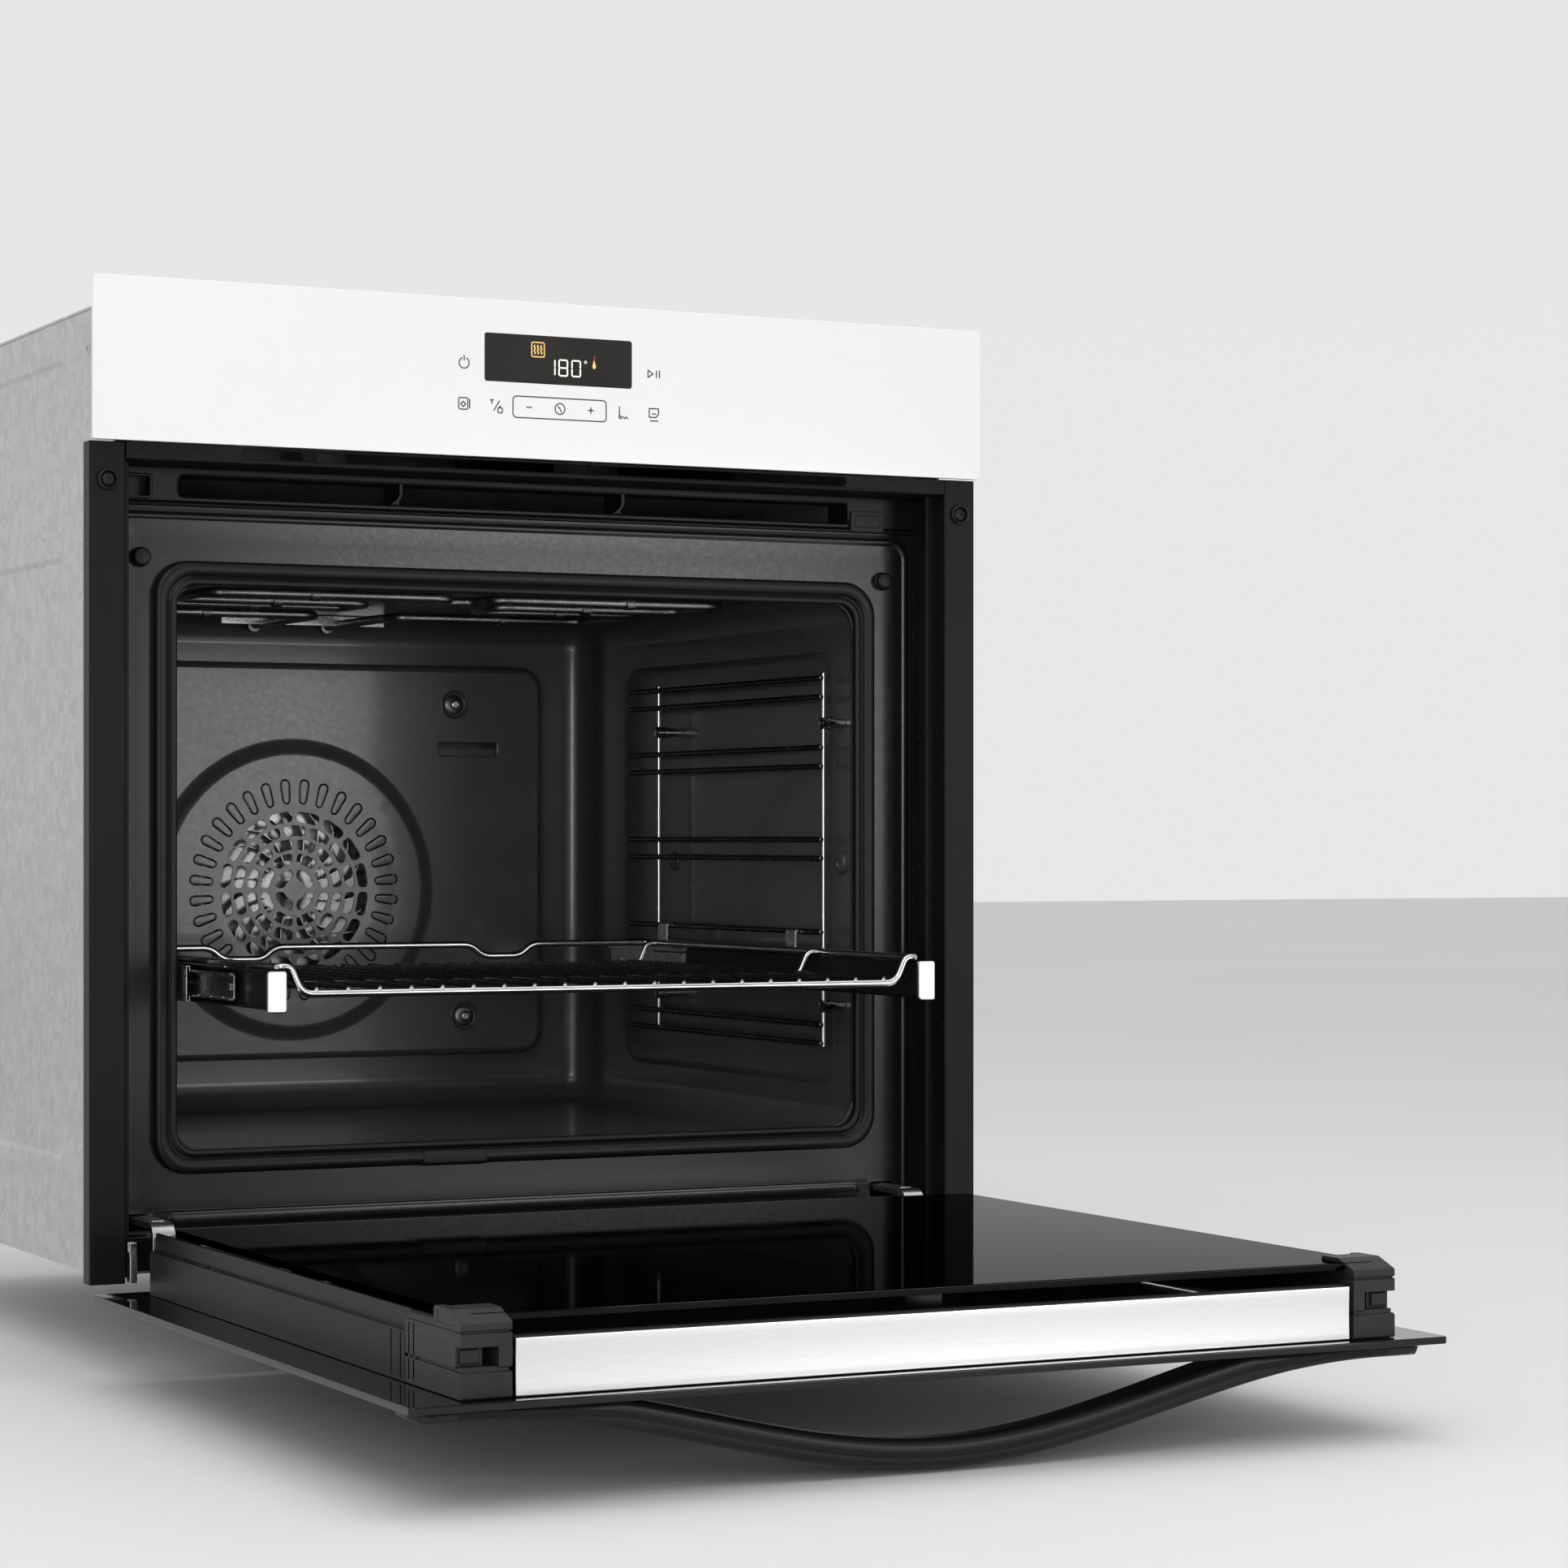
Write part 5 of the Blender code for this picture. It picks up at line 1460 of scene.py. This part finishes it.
def build_rails(side, sign):
    low, high = span("rail_fixed_" + side)
    bm = bmesh.new()
    body = channel(216.3, 219.3, 169, 190.5, 0.9, 3.4)
    bar(bm, body, sign, low.y, high.y)
    for depth in (105, 300):
        hook = [(217.2, 188), (218.6, 188), (218.6, 203), (219.7, 204.6), (219.7, 206.6),
                (217.8, 207), (217.2, 205)]
        bar(bm, hook, sign, depth, depth + 14)
    for depth in (88, 160, 240, 345, 380):
        stud(bm, "x", (depth, 179.7), 0, sign, ((2.6, 218.5), (2.4, 217.7), (1.4, 217.3), (0, 217.3)),
             20)
    piece("rail_base_" + side, bm, "plated_steel", stands_for="rail_fixed_" + side, bevel=0.25)
    low, high = span("rail_middle_" + side)
    bm = bmesh.new()
    web = [(212.3, 173.4), (212.3, 186.6), (213.4, 188), (215.9, 188), (215.9, 186.8), (214, 186.8),
           (213.4, 186), (213.4, 174), (214, 173.2), (215.9, 173.2), (215.9, 172), (213.4, 172)]
    bar(bm, web, sign, low.y, high.y)
    block(bm, (sign * 213.2, low.y + 0.2, 178), (sign * 215.6, low.y + 6, 182))
    for i in range(14):
        for height in (172.9, 187.1):
            ball(bm, (sign * 214.9, low.y + 14 + i * 22.5, height), 1.0)
    piece("rail_slider_" + side, bm, "plated_steel", body="rail_middle_" + side,
          stands_for="rail_middle_" + side, bevel=0.2)
    low, high = span("rail_outer_" + side)
    bm = bmesh.new()
    shell = [(207.5, 169.7), (207.5, 189.8), (208.7, 191), (211.9, 191), (211.9, 189.7),
             (209.3, 189.7), (208.8, 189.2), (208.8, 170.3), (209.3, 169.8), (211.9, 169.8),
             (211.9, 168.5), (208.7, 168.5)]
    bar(bm, shell, sign, low.y, high.y)
    for depth in (low.y + 18, (low.y + high.y) / 2, high.y - 18):
        stud(bm, "x", (depth, 180), 0, sign,
             ((3.2, 207.9), (3.0, 207.2), (2.0, 206.95), (1.6, 207.5), (0, 207.5)), 24)
    end = [(208.2, 189.5), (211.6, 189.5), (211.6, 191.2), (210.4, 192.4), (208.2, 192.4)]
    bar(bm, end, sign, high.y - 6, high.y - 1)
    piece("rail_shell_" + side, bm, "black_paint", body="rail_" + side,
          stands_for="rail_outer_" + side, bevel=0.2)
    low, high = span("rail_cap_" + side)
    bm = bmesh.new()
    inner, outer = half_widths(low, high)
    rings = []
    for inset, depth in ((0.9, low.y), (0.3, low.y + 0.25), (0.0, low.y + 0.8), (0.0, high.y)):
        rings.append([(sign * a, depth, b) for a, b in
                      rounded(inner + inset, low.z + inset, outer - inset, high.z - inset,
                              1.6 - inset * 0.5, 4)])
    loft(bm, rings)
    block(bm, (sign * (inner + 1.6), high.y - 0.4, 171), (sign * (inner + 4.4), high.y + 5, 188.6))
    piece("rail_end_" + side, bm, "bright_strip", body="rail_" + side,
          stands_for="rail_cap_" + side, smooth=50)


def ball(bm, centre, radius, rings=6, segments=10):
    turns = [math.pi * i / rings for i in range(1, rings)]
    middle = [(radius * math.sin(t), centre[2] - radius * math.cos(t)) for t in turns]
    lathe(bm, [(0, centre[2] - radius), *middle, (0, centre[2] + radius)], "height", centre[:2],
          segments)


def build_rack():
    low, high = span("wire_rack")
    wire = 2.3
    front, back = max(low.y + wire, -70.0), high.y - wire
    side, rise, deck = 209.0, 193.6, 178.0
    dips = []
    for centre in (-95.0, 95.0):
        dips += [(centre - 23, back, rise), (centre - 14, back, rise - 8),
                 (centre + 14, back, rise - 8), (centre + 23, back, rise)]
    frame_path = [(side, front, rise), (202, front, rise), (195, front, deck), (-195, front, deck),
                  (-202, front, rise), (-side, front, rise), (-side, back, rise), *dips,
                  (side, back, rise)]
    bm = bmesh.new()
    rod(bm, filleted(frame_path, 7, 6, closed=True), wire, 16, closed=True)
    for depth in (55.0, 296.0):
        ends = [(207.6, rise), (200, rise), (193, deck)]
        path = [(x, depth, z) for x, z in ends] + [(-x, depth, z) for x, z in reversed(ends)]
        rod(bm, filleted(path, 6, 6), 2.1, 14)
    deck_wires = bmesh.new()
    for i in range(20):
        x = 19.6 * (i - 9.5)
        height = deck + wire + 0.75
        rod(deck_wires, [(x, front - 1.6, height), (x, 297.5, height)], 1.25, 10)
        stud(bm, "height", (x, front - 0.4), height, 1,
             ((0, -2.0), (1.5, -1.7), (1.7, -1.0), (1.2, 0.3), (0, 0.9)), 10)
    piece("rack_frame", bm, "chrome_wire", body="rack", stands_for="wire_rack", smooth=50)
    # The deck wires are chrome like the frame; their darker finish is painted shade.
    piece("rack_deck_wires", deck_wires, "chrome_wire_painted_shade", body="rack", smooth=50)


# ---------------------------------------------------------------- what is left, and the studio

SEALED_IN = ("insulation", "bottom_element", "control_board", "air_duct", "cooling_fan_housing",
             "cooling_fan_wheel", "cooling_fan_motor", "convection_motor", "terminal_block")


def body_of_node(node):
    return next(body for body, members in frame["record"]["behaviour"]["bodies"].items()
                if node in members)


def finish_rest():
    """CAD nodes that no piece stands for: the ones that show get broken edges, and every one
    gets its finish."""
    slots = {part["node"]: part["material_slot"] for part in frame["record"]["subparts"]}
    for node, shown in frame["nodes"].items():
        if shown.hide_render:
            continue
        if node in SEALED_IN:
            shown.data.materials.clear()
            shown.data.materials.append(MATERIALS[slots[node]])
        else:
            refined(node, body_of_node(node), slots[node])


def area_light(name, place, target, size, power):
    lamp = bpy.data.lights.new(name, "AREA")
    lamp.shape = "RECTANGLE"
    lamp.size, lamp.size_y = size
    lamp.energy = power
    light = bpy.data.objects.new(name, lamp)
    light.location = place
    light.rotation_euler = (Vector(target) - Vector(place)).to_track_quat("-Z", "Y").to_euler()
    bpy.context.scene.collection.objects.link(light)


def build_studio():
    """A pale floor and soft light. The air is darker on the side that the oven faces, so that its
    black front shows the softboxes alone."""
    low, _ = CAD_BOUNDS
    floor_mesh = bpy.data.meshes.new("studio_floor")
    reach = 14.0
    floor_mesh.from_pydata([(-reach, -reach, 0), (reach, -reach, 0), (reach, reach, 0),
                            (-reach, reach, 0)], [], [(0, 1, 2, 3)])
    floor_mesh.materials.append(surface("pale_floor", (0.80, 0.80, 0.80), (0.77, 0.77, 0.77),
                                        (0.6, 0.7), patch=1.0, fine=60.0, strength=0.01))
    floor = bpy.data.objects.new("studio_floor", floor_mesh)
    floor.location.z = low[2] - 0.002
    bpy.context.scene.collection.objects.link(floor)
    world = bpy.data.worlds.new("studio_air")
    world.use_nodes = True
    tree = world.node_tree
    air = tree.nodes["Background"]
    place = add_node(tree, "ShaderNodeTexCoord")
    split = add_node(tree, "ShaderNodeSeparateXYZ")
    tree.links.new(place.outputs["Generated"], split.inputs[0])
    behind = remap(tree, split.outputs[1], 0.0, 1.0, -0.9, 0.3)
    level = mixed(tree, behind, (0.30, 0.30, 0.30), (0.80, 0.80, 0.80))
    up = remap(tree, split.outputs[2], 0.0, 1.0, 0.12, 0.8)
    tree.links.new(mixed(tree, up, level, (0.72, 0.72, 0.72)), air.inputs["Color"])
    bpy.context.scene.world = world
    area_light("window_softbox", (1.1, -2.6, 0.40), (0.1, -0.3, 0.25), (0.8, 0.58), 8)
    area_light("side_softbox", (-1.3, -2.5, 0.42), (0.2, 0, 0.25), (0.6, 0.6), 9)
    area_light("key_softbox", (-1.5, -2.2, 2.2), (0, -0.3, 0.25), (1.6, 1.6), 19)
    area_light("top_softbox", (0.3, -0.6, 2.6), (0, -0.3, 0.2), (2.4, 2.4), 16)


def build_camera():
    lens = bpy.data.cameras.new("view")
    lens.sensor_width = 36.0
    lens.lens = 87.79
    lens.shift_x = 0.0859
    lens.shift_y = 0.0344
    camera = bpy.data.objects.new("view", lens)
    camera.location = (-0.963546, -2.429201, 0.260102)
    camera.rotation_euler = (math.radians(90), 0, math.radians(-25.6074))
    bpy.context.scene.collection.objects.link(camera)
    bpy.context.scene.camera = camera
    bpy.context.scene.view_settings.view_transform = "Standard"


build_casing()
build_fascia()
build_front()
build_cavity()
build_convection_fan()
for grid_side, grid_sign in SIDES:
    build_side_grid(grid_side, grid_sign)
    build_rails(grid_side, grid_sign)
build_door()
build_rack()
finish_rest()
build_studio()
build_camera()
